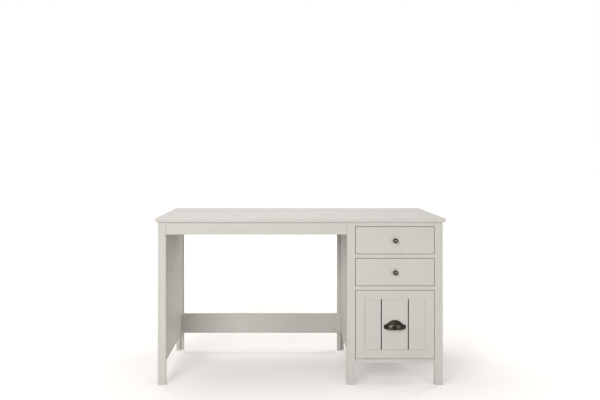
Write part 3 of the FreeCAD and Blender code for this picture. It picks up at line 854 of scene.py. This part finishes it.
@dataclass
class PanScrew:
    """A pan-head screw with a cross recess."""

    head_radius: float = 4 * MM
    head_height: float = 2 * MM
    shank_radius: float = 2 * MM
    recess: float = 1.1 * MM
    arm: float = 2.1 * MM
    arm_width: float = 0.8 * MM
    crown_angle: float = 62.0
    tip: float = 0.75
    tip_start: float = 2 * MM
    tip_end: float = 5 * MM
    recess_taper: float = 0.8

    def mesh(self, length: float) -> bmesh.types.BMesh:
        """The screw, its seat at the origin, its head towards -Y and its shank along +Y.

        Args:
            length: the shank's length below the head.

        Returns:
            The closed mesh.
        """
        dome = arc((0.0, 0.0), 1.0, 0, self.crown_angle, 7)
        rise = self.head_height / math.sin(math.radians(self.crown_angle))
        crown = [(self.head_radius * a ** 0.7, rise * b) for a, b in dome]
        point = [
            (0.0, -length),
            (self.shank_radius * self.tip, -length + self.tip_start),
            (self.shank_radius, -length + self.tip_end),
        ]
        profile = point + [(self.shank_radius, 0.0), (self.head_radius, 0.0)] + crown[1:]
        mesh = turned(profile + [(0.0, self.head_height)], 24)
        self._cut_cross(mesh)
        return mesh

    def _cut_cross(self, mesh: bmesh.types.BMesh) -> None:
        """Sinks a cross into the head's flat middle."""
        layer = -self.head_height * 0.98
        top = [f for f in mesh.faces if f.calc_center_median().y < layer]
        if not top:
            return
        merged = bmesh.ops.dissolve_faces(mesh, faces=top, use_verts=True)["region"]
        disc = merged[0] if merged else None
        if disc is None or len(disc.verts) < 8:
            return
        half = self.arm_width / 2
        y = disc.calc_center_median().y
        cross = [
            (self.arm, -half), (self.arm, half), (half, half), (half, self.arm),
            (-half, self.arm), (-half, half), (-self.arm, half), (-self.arm, -half),
            (-half, -half), (-half, -self.arm), (half, -self.arm), (half, -half),
        ]
        outer = list(disc.edges)
        bmesh.ops.delete(mesh, geom=[disc], context="FACES_ONLY")
        taper = self.recess_taper
        rim = [mesh.verts.new((a * taper, y, b * taper)) for a, b in cross]
        inner = [mesh.edges.new((rim[i], rim[(i + 1) % len(rim)])) for i in range(len(rim))]
        bmesh.ops.bridge_loops(mesh, edges=outer + inner)
        floor = mesh.faces.new(rim)
        sunk = bmesh.ops.extrude_face_region(mesh, geom=[floor])
        bmesh.ops.delete(mesh, geom=[floor], context="FACES_ONLY")
        moved_verts = [item for item in sunk["geom"] if isinstance(item, bmesh.types.BMVert)]
        bmesh.ops.translate(mesh, vec=(0, self.recess, 0), verts=moved_verts)
        bmesh.ops.recalc_face_normals(mesh, faces=mesh.faces)


@dataclass
class Slide:
    """The rolled steel channels of one drawer's slides."""

    drawer: str
    sheet: float = 1.2 * MM
    fixed_depth: float = 9.5 * MM
    fixed_height: float = 35 * MM
    moving_depth: float = 7.5 * MM
    bend: float = 0.5 * MM

    def channel(self, face: float, way: int, depth: float, span_z: Span, span_y: Span) -> bmesh.types.BMesh:
        """A C channel with rounded bends.

        Args:
            face: where the web's back lies, along X.
            way: 1 where the flanges point to +X, -1 where they point to -X.
            depth: the flanges' reach from the face.
            span_z: the channel's lower and upper edge.
            span_y: its front and rear end.

        Returns:
            The closed mesh.
        """
        low, high = span_z
        web = face + self.sheet * way
        tip = face + depth * way
        corners = [
            (face, low), (tip, low), (tip, low + self.sheet), (web, low + self.sheet),
            (web, high - self.sheet), (tip, high - self.sheet), (tip, high), (face, high),
        ]
        mesh = prism(corners, "Y", span_y)
        long_edges = [e for e in sharp_edges(mesh) if abs(e.verts[0].co.y - e.verts[1].co.y) > 0.01]
        round_edges(mesh, long_edges, self.bend, 3)
        return mesh

    def fixed(self) -> list[bmesh.types.BMesh]:
        """The two channels on the desk's frame."""
        low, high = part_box(f"{self.drawer}_slide_members")
        rail_low, rail_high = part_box("top_front_rail")
        middle = (low[2] + high[2]) / 2
        span_z = (middle - self.fixed_height / 2, middle + self.fixed_height / 2)
        span_y = (low[1], high[1])
        return [
            self.channel(rail_low[0], 1, self.fixed_depth, span_z, span_y),
            self.channel(rail_high[0], -1, self.fixed_depth, span_z, span_y),
        ]

    def build(self, shop: Workshop) -> None:
        """Builds the two channels that move with the drawer."""
        low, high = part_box(f"{self.drawer}_slide_members")
        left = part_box(f"{self.drawer}_drawer_left_side")[0][0]
        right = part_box(f"{self.drawer}_drawer_right_side")[1][0]
        span_z = (low[2], high[2])
        span_y = (low[1], high[1])
        members = [
            self.channel(left, -1, self.moving_depth, span_z, span_y),
            self.channel(right, 1, self.moving_depth, span_z, span_y),
        ]
        node = f"{self.drawer}_slide_members"
        name = f"{self.drawer}_moving_channels"
        shop.piece(name, joined(members), Finish.ZINC, f"{self.drawer}_drawer", [node])


@dataclass
class Fasteners:
    """Screws of the slides, the battens, the knobs and the pull."""

    screw: PanScrew = field(default_factory=PanScrew)

    def aimed(self, seat: Point, along: Point, length: float) -> bmesh.types.BMesh:
        """A screw with its head on a seat and its shank along a direction."""
        turn = Vector((0, 1, 0)).rotation_difference(Vector(along)).to_matrix().to_4x4()
        return moved(self.screw.mesh(length), Matrix.Translation(seat) @ turn)

    def slide_screws(self, shop: Workshop) -> None:
        """Three screws in each fixed channel."""
        low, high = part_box("slide_screws")
        rail_low, rail_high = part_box("top_front_rail")
        radius = self.screw.head_radius
        first, last = low[1] + radius, high[1] - radius
        sheet = Slide("upper").sheet
        screws = []
        for drawer in ("upper", "middle", "deep"):
            member_low, member_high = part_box(f"{drawer}_slide_members")
            z = (member_low[2] + member_high[2]) / 2
            for y in (first, (first + last) / 2, last):
                left, right = rail_low[0] + sheet, rail_high[0] - sheet
                screws.append(self.aimed((left, y, z), (-1, 0, 0), left - low[0]))
                screws.append(self.aimed((right, y, z), (1, 0, 0), high[0] - right))
        shop.piece("slide_screw_set", joined(screws), Finish.ZINC, FRAME_BODY, ["slide_screws"])

    def batten_screws(self, shop: Workshop) -> None:
        """Three screws up through each batten into the tabletop."""
        low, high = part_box("tabletop_screws")
        radius = self.screw.head_radius
        left_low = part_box("left_side_panel")[1][0]
        width = low[0] + radius - left_low
        pedestal = (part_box("pedestal_back_panel")[0][0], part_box("pedestal_back_panel")[1][0])
        seat_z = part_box("tabletop_cleats")[0][2]
        inset = low[1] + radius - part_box("knee_apron")[1][1]
        rails = (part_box("top_front_rail")[1][1] + inset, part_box("pedestal_back_panel")[0][1] - inset)
        rows = [
            (left_low + width, low[1] + radius, high[1] - radius),
            (pedestal[0] + width, *rails),
            (pedestal[1] - width, *rails),
        ]
        screws = []
        for x, first, last in rows:
            for y in (first, (first + last) / 2, last):
                screws.append(self.aimed((x, y, seat_z), (0, 0, 1), high[2] - seat_z))
        shop.piece("batten_screw_set", joined(screws), Finish.ZINC, FRAME_BODY, ["tabletop_screws"])

    def handle_screws(self, shop: Workshop, node: str, drawer: str) -> None:
        """The machine screws behind a handle.

        Args:
            shop: the workshop.
            node: the CAD node of the screws.
            drawer: the drawer that they move with.
        """
        low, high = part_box(node)
        radius = self.screw.head_radius
        seat_y = high[1] - self.screw.head_height
        z = (low[2] + high[2]) / 2
        spots = {round(low[0] + radius, 5), round(high[0] - radius, 5)}
        screws = [self.aimed((x, seat_y, z), (0, -1, 0), seat_y - low[1]) for x in sorted(spots)]
        shop.piece(f"{node}_set", joined(screws), Finish.ZINC, f"{drawer}_drawer", [node])


@dataclass
class DrawerBox:
    """Two grooved sides, a back and a thin bottom."""

    drawer: str
    easing: float = 0.7 * MM

    @property
    def body(self) -> str:
        """The body that the drawer's pieces ride on."""
        return f"{self.drawer}_drawer"

    def side(self, shop: Workshop, outer: Side) -> None:
        """One side, with the groove that holds the bottom."""
        node = f"{self.body}_{outer.name.lower()}_side"
        low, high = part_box(node)
        sheet_low, sheet_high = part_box(f"{self.body}_bottom")
        if outer is Side.LEFT:
            out_x, in_x, groove_x = low[0], high[0], sheet_low[0]
        else:
            out_x, in_x, groove_x = high[0], low[0], sheet_high[0]
        corners = [
            (out_x, low[2]),
            (in_x, low[2]),
            (in_x, sheet_low[2]),
            (groove_x, sheet_low[2]),
            (groove_x, sheet_high[2]),
            (in_x, sheet_high[2]),
            (in_x, high[2]),
            (out_x, high[2]),
        ]
        mesh = prism(corners, "Y", (low[1], high[1]))
        rims = [e for e in sharp_edges(mesh) if all(abs(v.co.x - groove_x) > self.easing for v in e.verts)]
        rims = [e for e in rims if not all(abs(v.co.z - sheet_low[2]) < 1e-6 for v in e.verts)]
        rims = [e for e in rims if not all(abs(v.co.z - sheet_high[2]) < 1e-6 for v in e.verts)]
        round_edges(mesh, rims, self.easing, 2)
        shop.piece(f"{node}_board", mesh, Finish.LAMINATE, self.body, [node])

    def build(self, shop: Workshop) -> None:
        """Builds the box."""
        self.side(shop, Side.LEFT)
        self.side(shop, Side.RIGHT)
        shop.board(f"{self.body}_back", Finish.LAMINATE, self.body, self.easing)
        shop.board(f"{self.body}_bottom", Finish.LAMINATE, self.body, 0.2 * MM)


@dataclass
class Knob:
    """A turned mushroom knob: foot, cove, neck, half-round rim and a raised button."""

    foot_radius: float = 7.5 * MM
    foot_height: float = 2.0 * MM
    neck_radius: float = 5.0 * MM
    rim: float = 2.6 * MM
    button_radius: float = 6.0 * MM
    button_rise: float = 2.4 * MM
    moat: float = 0.7 * MM
    foot_easing: float = 0.3 * MM
    foot_bead: float = 0.5 * MM
    flare_gap: float = 1.0 * MM
    flare_power: float = 2.2
    flare_share: float = 0.86
    flare_steps: int = 8
    dip_radius: float = 1.0 * MM
    dip_out: float = 1.3 * MM

    def profile(self, radius: float, length: float) -> list[tuple[float, float]]:
        """The knob's outline from the middle of its foot to the middle of its face.

        Args:
            radius: its widest radius.
            length: how far it stands out.

        Returns:
            (radius, distance out) points.
        """
        shoulder = length - self.button_rise - self.rim
        cove = self.foot_radius - self.neck_radius
        easing = self.foot_easing
        foot = [(0.0, 0.0), (self.foot_radius - easing, 0.0), (self.foot_radius, easing)]
        small = self.foot_bead
        bead = arc((self.foot_radius - small, self.foot_height - small), small, 0, 90, 3)
        hollow = arc((self.neck_radius + cove, self.foot_height + cove), cove, 265, 180, 6)
        flare_radius = shoulder - self.foot_height - cove - self.flare_gap
        steps = self.flare_steps
        spread = radius - self.rim * 0.4 - self.neck_radius
        flare = [
            (self.neck_radius + spread * (i / steps) ** self.flare_power,
             shoulder - flare_radius + flare_radius * (i / steps) * self.flare_share)
            for i in range(1, steps + 1)
        ]
        rim = arc((radius - self.rim, shoulder), self.rim, -30, 90, 9)
        face = shoulder + self.rim
        dip = arc((self.button_radius + self.dip_out, face), self.dip_radius, 0, -150, 6)
        sunk = self.moat * 0.4
        button = [
            (self.button_radius * math.cos(a), face - sunk + (self.button_rise + sunk) * math.sin(a))
            for a in (math.radians(12 * i) for i in range(8))
        ]
        moat = [point for point in dip if point[1] <= face]
        return foot + bead + hollow[1:] + flare + rim + moat + button + [(0.0, length)]

    def rub_and_highlight_button(self, mesh: bmesh.types.BMesh) -> None:
        """Marks the button as worn towards its middle, where fingers rub most, and as a painted highlight
        there that stands in for the light's reflection on the dome.
        """
        layer = mesh.loops.layers.float[EDGE_LAYER]
        front = min(vert.co.y for vert in mesh.verts)
        for vert in mesh.verts:
            out = math.hypot(vert.co.x, vert.co.z)
            if out < self.button_radius and vert.co.y < front + self.button_rise * 1.2:
                worn = 1.0 - (out / self.button_radius) ** 2
                for loop in vert.link_loops:
                    loop[layer] = max(loop[layer], worn * 1.6)

    def build(self, shop: Workshop, drawer: str) -> None:
        """Builds a drawer's knob inside its node's box."""
        node = f"{drawer}_drawer_knob"
        low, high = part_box(node)
        centre = ((low[0] + high[0]) / 2, high[1], (low[2] + high[2]) / 2)
        radius = (high[0] - low[0]) / 2
        mesh = turned(self.profile(radius, high[1] - low[1]), 64)
        mark_convexity(mesh, 1.4)
        # The button's middle gets the lighter rubbed colour: partly wear, partly a painted highlight.
        self.rub_and_highlight_button(mesh)
        moved(mesh, Matrix.Translation(centre))
        shop.piece(f"{drawer}_turned_knob", mesh, Finish.BRONZE, f"{drawer}_drawer", [node], smooth=55)


@dataclass
class CupPull:
    """A cast cup pull: a quarter-egg shell with a beaded mouth on a flared, eared plate."""

    wall: float = 2.5 * MM
    bead: float = 1.5 * MM
    half_width: float = 43.5 * MM
    flange: float = 3.2 * MM
    ear_height: float = 18 * MM
    plate: float = 2.2 * MM
    post_radius: float = 4 * MM
    post_spacing: float = 64 * MM
    post_rise: float = 11 * MM
    voxel: float = 0.55 * MM
    ear_radius: float = 2.5 * MM
    crown_power: float = 1.25
    flare_power: float = 1.5
    flare_steps: int = 8

    def shell(self, depth: float, height: float) -> bmesh.types.BMesh:
        """The hollow quarter egg, its mouth at z = 0 and its back at y = 0."""
        mesh = bmesh.new()
        bmesh.ops.create_uvsphere(mesh, u_segments=96, v_segments=64, radius=1.0)
        bmesh.ops.scale(mesh, vec=(self.half_width, depth, height), verts=mesh.verts)
        for normal in ((0, 1, 0), (0, 0, -1)):
            everything = list(mesh.verts) + list(mesh.edges) + list(mesh.faces)
            bmesh.ops.bisect_plane(
                mesh, geom=everything, plane_co=(0, 0, 0), plane_no=normal, clear_outer=True
            )
        bmesh.ops.recalc_face_normals(mesh, faces=mesh.faces)
        if sum(face.normal.dot(face.calc_center_median()) for face in mesh.faces) < 0:
            bmesh.ops.reverse_faces(mesh, faces=mesh.faces)
        bmesh.ops.solidify(mesh, geom=list(mesh.faces), thickness=self.wall)
        return mesh

    def lip(self, depth: float) -> bmesh.types.BMesh:
        """The bead round the mouth: a small ring spun through half a turn and squeezed."""
        mesh = bmesh.new()
        inset = self.half_width - self.wall / 2
        matrix = Matrix.Translation((inset, 0, self.bead)) @ Matrix.Rotation(math.pi / 2, 4, "X")
        bmesh.ops.create_circle(mesh, cap_ends=True, segments=14, radius=self.bead, matrix=matrix)
        ring = list(mesh.verts) + list(mesh.edges) + list(mesh.faces)
        bmesh.ops.spin(
            mesh, geom=ring, cent=(0, 0, 0), axis=(0, 0, 1), dvec=(0, 0, 0), angle=-math.pi, steps=72
        )
        squeeze = (depth - self.wall / 2) / inset
        bmesh.ops.scale(mesh, vec=(1.0, squeeze, 1.0), verts=mesh.verts)
        bmesh.ops.recalc_face_normals(mesh, faces=mesh.faces)
        return mesh

    def back_plate(self, reach: float, height: float) -> bmesh.types.BMesh:
        """The thin plate whose edge flares from the crown down to the two ears."""
        crown = [
            ((self.half_width + self.flange * 0.4) * math.sin(a), height * math.cos(a) ** self.crown_power)
            for a in (math.radians(5 * i) for i in range(8))
        ]
        join_x, join_z = crown[-1]
        flare = []
        for i in range(1, self.flare_steps + 1):
            share = i / self.flare_steps
            ease = 1 - (1 - share) ** self.flare_power
            flare.append((join_x + (reach - join_x) * share, join_z + (self.ear_height - join_z) * ease))
        corner = self.ear_radius
        ear = arc((reach - corner, corner), corner, 0, -90, 5)
        right = crown + flare + ear
        left = [(-x, z) for x, z in reversed(right) if x > 0]
        return prism(right + left, "Y", (-self.plate, 0.0))

    def posts(self, depth: float, height: float) -> list[bmesh.types.BMesh]:
        """Two screw posts that end inside the shell's wall."""
        posts = []
        for sign in (-1, 1):
            x = self.post_spacing / 2 * sign
            edge_x = abs(x) + self.post_radius
            edge_z = self.post_rise + self.post_radius
            share = 1 - (edge_x / self.half_width) ** 2 - (edge_z / height) ** 2
            length = depth * math.sqrt(max(share, 0.05)) - self.wall
            place = Matrix.Translation((x, -length / 2, self.post_rise))
            matrix = place @ Matrix.Rotation(math.pi / 2, 4, "X")
            mesh = bmesh.new()
            bmesh.ops.create_cone(
                mesh,
                cap_ends=True,
                segments=28,
                radius1=self.post_radius,
                radius2=self.post_radius,
                depth=length,
                matrix=matrix,
            )
            posts.append(mesh)
        return posts

    def cast(self, mesh: bmesh.types.BMesh) -> bmesh.types.BMesh:
        """Melts overlapping parts into one skin, as a casting is, and softens it."""
        data = bpy.data.meshes.new("pull_pattern")
        mesh.to_mesh(data)
        mesh.free()
        item = bpy.data.objects.new("pull_pattern", data)
        bpy.context.scene.collection.objects.link(item)
        remesh = item.modifiers.new("melt", "REMESH")
        remesh.mode = "VOXEL"
        remesh.voxel_size = self.voxel
        bpy.context.view_layer.update()
        melted = item.evaluated_get(bpy.context.evaluated_depsgraph_get()).to_mesh()
        result = bmesh.new()
        result.from_mesh(melted)
        bpy.data.objects.remove(item)
        bpy.data.meshes.remove(data)
        for _ in range(4):
            bmesh.ops.smooth_vert(
                result, verts=result.verts, factor=0.5, use_axis_x=True, use_axis_y=True, use_axis_z=True
            )
        return result

    def build(self, shop: Workshop) -> None:
        """Builds the pull inside its node's box."""
        node = "deep_drawer_cup_pull"
        low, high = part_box(node)
        depth, height = high[1] - low[1], high[2] - low[2]
        reach = (high[0] - low[0]) / 2
        parts = [
            self.shell(depth - self.bead * 0.2, height - self.flange),
            self.lip(depth - self.bead * 0.8),
            self.back_plate(reach, height),
            *self.posts(depth, height - self.flange),
        ]
        mesh = self.cast(joined(parts))
        mark_convexity(mesh, 3.0)
        moved(mesh, Matrix.Translation(((low[0] + high[0]) / 2, high[1], low[2])))
        shop.piece("cast_cup_pull", mesh, Finish.BRONZE, "deep_drawer", [node], smooth=80)


@dataclass
class PlainDrawer:
    """A drawer with a flat front and a knob."""

    name: str
    front_easing: float = 1.2 * MM

    def build(self, shop: Workshop, fasteners: Fasteners) -> None:
        """Builds the front, the box, the slides, the knob and its screw."""
        body = f"{self.name}_drawer"
        shop.board(f"{body}_front", Finish.PAINT_X, body, self.front_easing)
        DrawerBox(self.name).build(shop)
        Slide(self.name).build(shop)
        Knob().build(shop, self.name)
        fasteners.handle_screws(shop, f"{self.name}_knob_screw", self.name)


@dataclass
class DeepDrawer:
    """The deep drawer: a framed front with three planks, a cup pull and a tall box."""

    frame_easing: float = 0.5 * MM
    plank_easing: float = 0.35 * MM
    body: str = "deep_drawer"

    def member(self, shop: Workshop, name: str, run: Finish) -> None:
        """One member of the front's frame, rebated behind for the planks.

        Args:
            shop: the workshop.
            name: "left_stile", "right_stile", "top_rail" or "bottom_rail".
            run: the paint that runs with the member.
        """
        node = f"deep_front_{name}"
        low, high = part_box(node)
        field_low, field_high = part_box("deep_front_backing")
        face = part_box("deep_front_middle_plank")[0][1]
        mesh = block(low, high)
        cutter_low = (field_low[0], face, field_low[2])
        cutter_high = (field_high[0], high[1] + 1 * MM, field_high[2])
        cutter = block(cutter_low, cutter_high)
        mesh = carved(mesh, cutter)
        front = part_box("deep_front_left_stile")
        joints = (front[1][0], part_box("deep_front_right_stile")[0][0])
        free = [
            e for e in sharp_edges(mesh)
            if not any(all(abs(v.co.x - x) < self.plank_easing for v in e.verts) for x in joints)
        ]
        round_edges(mesh, free, self.frame_easing, 3)
        shop.piece(f"{node}_member", mesh, run, self.body, [node])

    def plank(self, shop: Workshop, node: str) -> None:
        """One plank, painted on its face and dark on the edges beside a reveal."""
        low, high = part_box(node)
        mesh = eased(block(low, high), self.plank_easing, 2)
        for face in mesh.faces:
            if abs(face.normal.x) > 0.9:
                face.material_index = 1
        shop.piece(f"{node}_board", mesh, Finish.PAINT_Z, self.body, [node], second=Finish.DARK)

    def build(self, shop: Workshop, fasteners: Fasteners) -> None:
        """Builds the whole drawer."""
        for name, run in (
            ("left_stile", Finish.PAINT_Z),
            ("right_stile", Finish.PAINT_Z),
            ("top_rail", Finish.PAINT_X),
            ("bottom_rail", Finish.PAINT_X),
        ):
            self.member(shop, name, run)
        for place in ("left", "middle", "right"):
            self.plank(shop, f"deep_front_{place}_plank")
        shop.board("deep_front_backing", Finish.DARK, self.body, 0.2 * MM)
        DrawerBox("deep").build(shop)
        Slide("deep").build(shop)
        CupPull().build(shop)
        fasteners.handle_screws(shop, "cup_pull_screws", "deep")


def carved(mesh: bmesh.types.BMesh, cutter: bmesh.types.BMesh) -> bmesh.types.BMesh:
    """The first mesh without what it shares with the cutter, made exactly.

    Args:
        mesh: the mesh to cut, which is freed.
        cutter: the solid to take away, which is freed.

    Returns:
        The cut mesh.
    """
    items = []
    for name, part in (("blank", mesh), ("cutter", cutter)):
        data = bpy.data.meshes.new(name)
        part.to_mesh(data)
        part.free()
        item = bpy.data.objects.new(name, data)
        bpy.context.scene.collection.objects.link(item)
        items.append(item)
    knife = items[0].modifiers.new("cut", "BOOLEAN")
    knife.operation = "DIFFERENCE"
    knife.solver = "EXACT"
    knife.object = items[1]
    bpy.context.view_layer.update()
    result = bmesh.new()
    result.from_mesh(items[0].evaluated_get(bpy.context.evaluated_depsgraph_get()).to_mesh())
    for item in items:
        data = item.data
        bpy.data.objects.remove(item)
        bpy.data.meshes.remove(data)
    bmesh.ops.dissolve_limit(result, angle_limit=0.01, verts=result.verts, edges=result.edges)
    return result


# ---- the studio ------------------------------------------------------------------------------


@dataclass(frozen=True)
class Softbox:
    """A square area light aimed at a point."""

    name: str
    place: Point
    aim: Point
    width: float
    power: float
    tint: Colour = (1.0, 1.0, 1.0)

    def build(self) -> None:
        """Adds the light."""
        light = bpy.data.lights.new(self.name, "AREA")
        light.size = self.width
        light.energy = self.power
        light.color = self.tint
        item = bpy.data.objects.new(self.name, light)
        item.location = self.place
        item.rotation_euler = (Vector(self.aim) - Vector(self.place)).to_track_quat("-Z", "Y").to_euler()
        bpy.context.scene.collection.objects.link(item)


@dataclass
class Studio:
    """A pale floor, a bright surround, three softboxes and a level camera."""

    floor_size: float = 60.0
    floor_tint: Colour = (0.76, 0.735, 0.70)
    surround_tint: Colour = (1.0, 0.97, 0.93)
    floor_fade: Span = (0.8, 4.5)
    floor_glow: Span = (0.30, 0.88)
    surround: float = 0.30
    camera_place: Point = (-0.082, -3.361, 1.043)
    lens: float = 40.5
    shift: tuple[float, float] = (0.0296, -0.0736)

    def floor(self) -> None:
        """A wide plain floor at the desk's feet."""
        mesh = bmesh.new()
        bmesh.ops.create_grid(mesh, x_segments=1, y_segments=1, size=self.floor_size / 2)
        data = bpy.data.meshes.new("studio_floor")
        mesh.to_mesh(data)
        mesh.free()
        item = bpy.data.objects.new("studio_floor", data)
        bpy.context.scene.collection.objects.link(item)
        material, graph = blank_material("studio_floor")
        place = graph.object_coordinates()
        cloud = graph.add("TexNoise", Vector=place, Scale=1.4, Detail=3.0)
        roughness = graph.ramp(cloud.outputs["Fac"], (0.3, 0.7), (0.72, 0.8))
        away = graph.add("VectorMath", {"operation": "LENGTH"})
        graph.feed(away, 0, place)
        glow = graph.ramp(away.outputs["Value"], self.floor_fade, self.floor_glow)
        seen = graph.add("LightPath").outputs["Is Camera Ray"]
        share = graph.math("MULTIPLY", seen, glow)
        shader = graph.add("BsdfPrincipled", Roughness=roughness)
        shader.inputs["Base Color"].default_value = (*self.floor_tint, 1.0)
        graph.feed(shader, "Emission Color", graph.mix(share, (0.0, 0.0, 0.0), (1.0, 1.0, 1.0)))
        shader.inputs["Emission Strength"].default_value = 1.0
        graph.add("OutputMaterial", Surface=shader.outputs["BSDF"])
        data.materials.append(material)

    def surroundings(self) -> None:
        """An even bright surround that reads as white behind the desk."""
        world = bpy.data.worlds.new("studio")
        world.use_nodes = True
        bpy.context.scene.world = world
        graph = Graph(world.node_tree)
        seen = graph.add("LightPath").outputs["Is Camera Ray"]
        strength = graph.ramp(seen, (0.0, 1.0), (self.surround, 1.0))
        tint = graph.mix(seen, self.surround_tint, (1.0, 1.0, 1.0))
        light = graph.add("Background", Color=tint, Strength=strength)
        graph.add("OutputWorld", Surface=light.outputs["Background"])

    def lights(self) -> None:
        """A large key from the upper left, a low fill from the right and a soft top light."""
        Softbox("key", (-1.6, -3.6, 2.0), (0.0, 0.0, 0.42), 1.6, 74.0, (1.0, 0.995, 0.985)).build()
        Softbox("fill", (2.6, -3.7, 1.5), (0.0, 0.0, 0.4), 1.6, 30.0, (1.0, 0.985, 0.955)).build()
        Softbox("top", (-0.3, 0.2, 2.9), (0.0, 0.1, 0.7), 2.0, 42.0).build()
        Softbox("back_left", (-3.2, 3.0, 1.7), (-0.1, 0.2, 0.4), 1.8, 34.0, (1.0, 0.99, 0.975)).build()
        Softbox("back_right", (3.4, 2.6, 1.9), (0.2, 0.1, 0.4), 1.8, 52.0).build()

    def camera(self) -> None:
        """The camera, level, with its lens shifted to keep uprights parallel."""
        data = bpy.data.cameras.new("camera")
        data.lens = self.lens
        data.sensor_width = 36.0
        data.shift_x, data.shift_y = self.shift
        item = bpy.data.objects.new("camera", data)
        item.location = self.camera_place
        item.rotation_euler = (math.pi / 2, 0.0, 0.0)
        bpy.context.scene.collection.objects.link(item)
        bpy.context.scene.camera = item

    def build(self) -> None:
        """Builds the whole studio."""
        bpy.context.scene.view_settings.view_transform = "Standard"
        self.floor()
        self.surroundings()
        self.lights()
        self.camera()


# ---- making --------------------------------------------------------------------------------


def main() -> None:
    """Builds the desk in order, from the studio to the drawers."""
    logging.basicConfig(level=logging.INFO, format="%(name)s %(message)s")
    Studio().build()
    shop = Workshop()
    fasteners = Fasteners()
    Tabletop().build(shop)
    SideFrame("left", Side.LEFT).build(shop)
    SideFrame("pedestal_left", Side.LEFT).build(shop)
    SideFrame("pedestal_right", Side.RIGHT).build(shop)
    Crossmembers().build(shop)
    CamCaps().build(shop)
    channels = [mesh for drawer in ("upper", "middle", "deep") for mesh in Slide(drawer).fixed()]
    shop.piece("fixed_channels", joined(channels), Finish.ZINC, FRAME_BODY, ["slide_channels"])
    fasteners.slide_screws(shop)
    fasteners.batten_screws(shop)
    PlainDrawer("upper").build(shop, fasteners)
    PlainDrawer("middle").build(shop, fasteners)
    DeepDrawer().build(shop, fasteners)


if __name__ == "__main__":
    main()
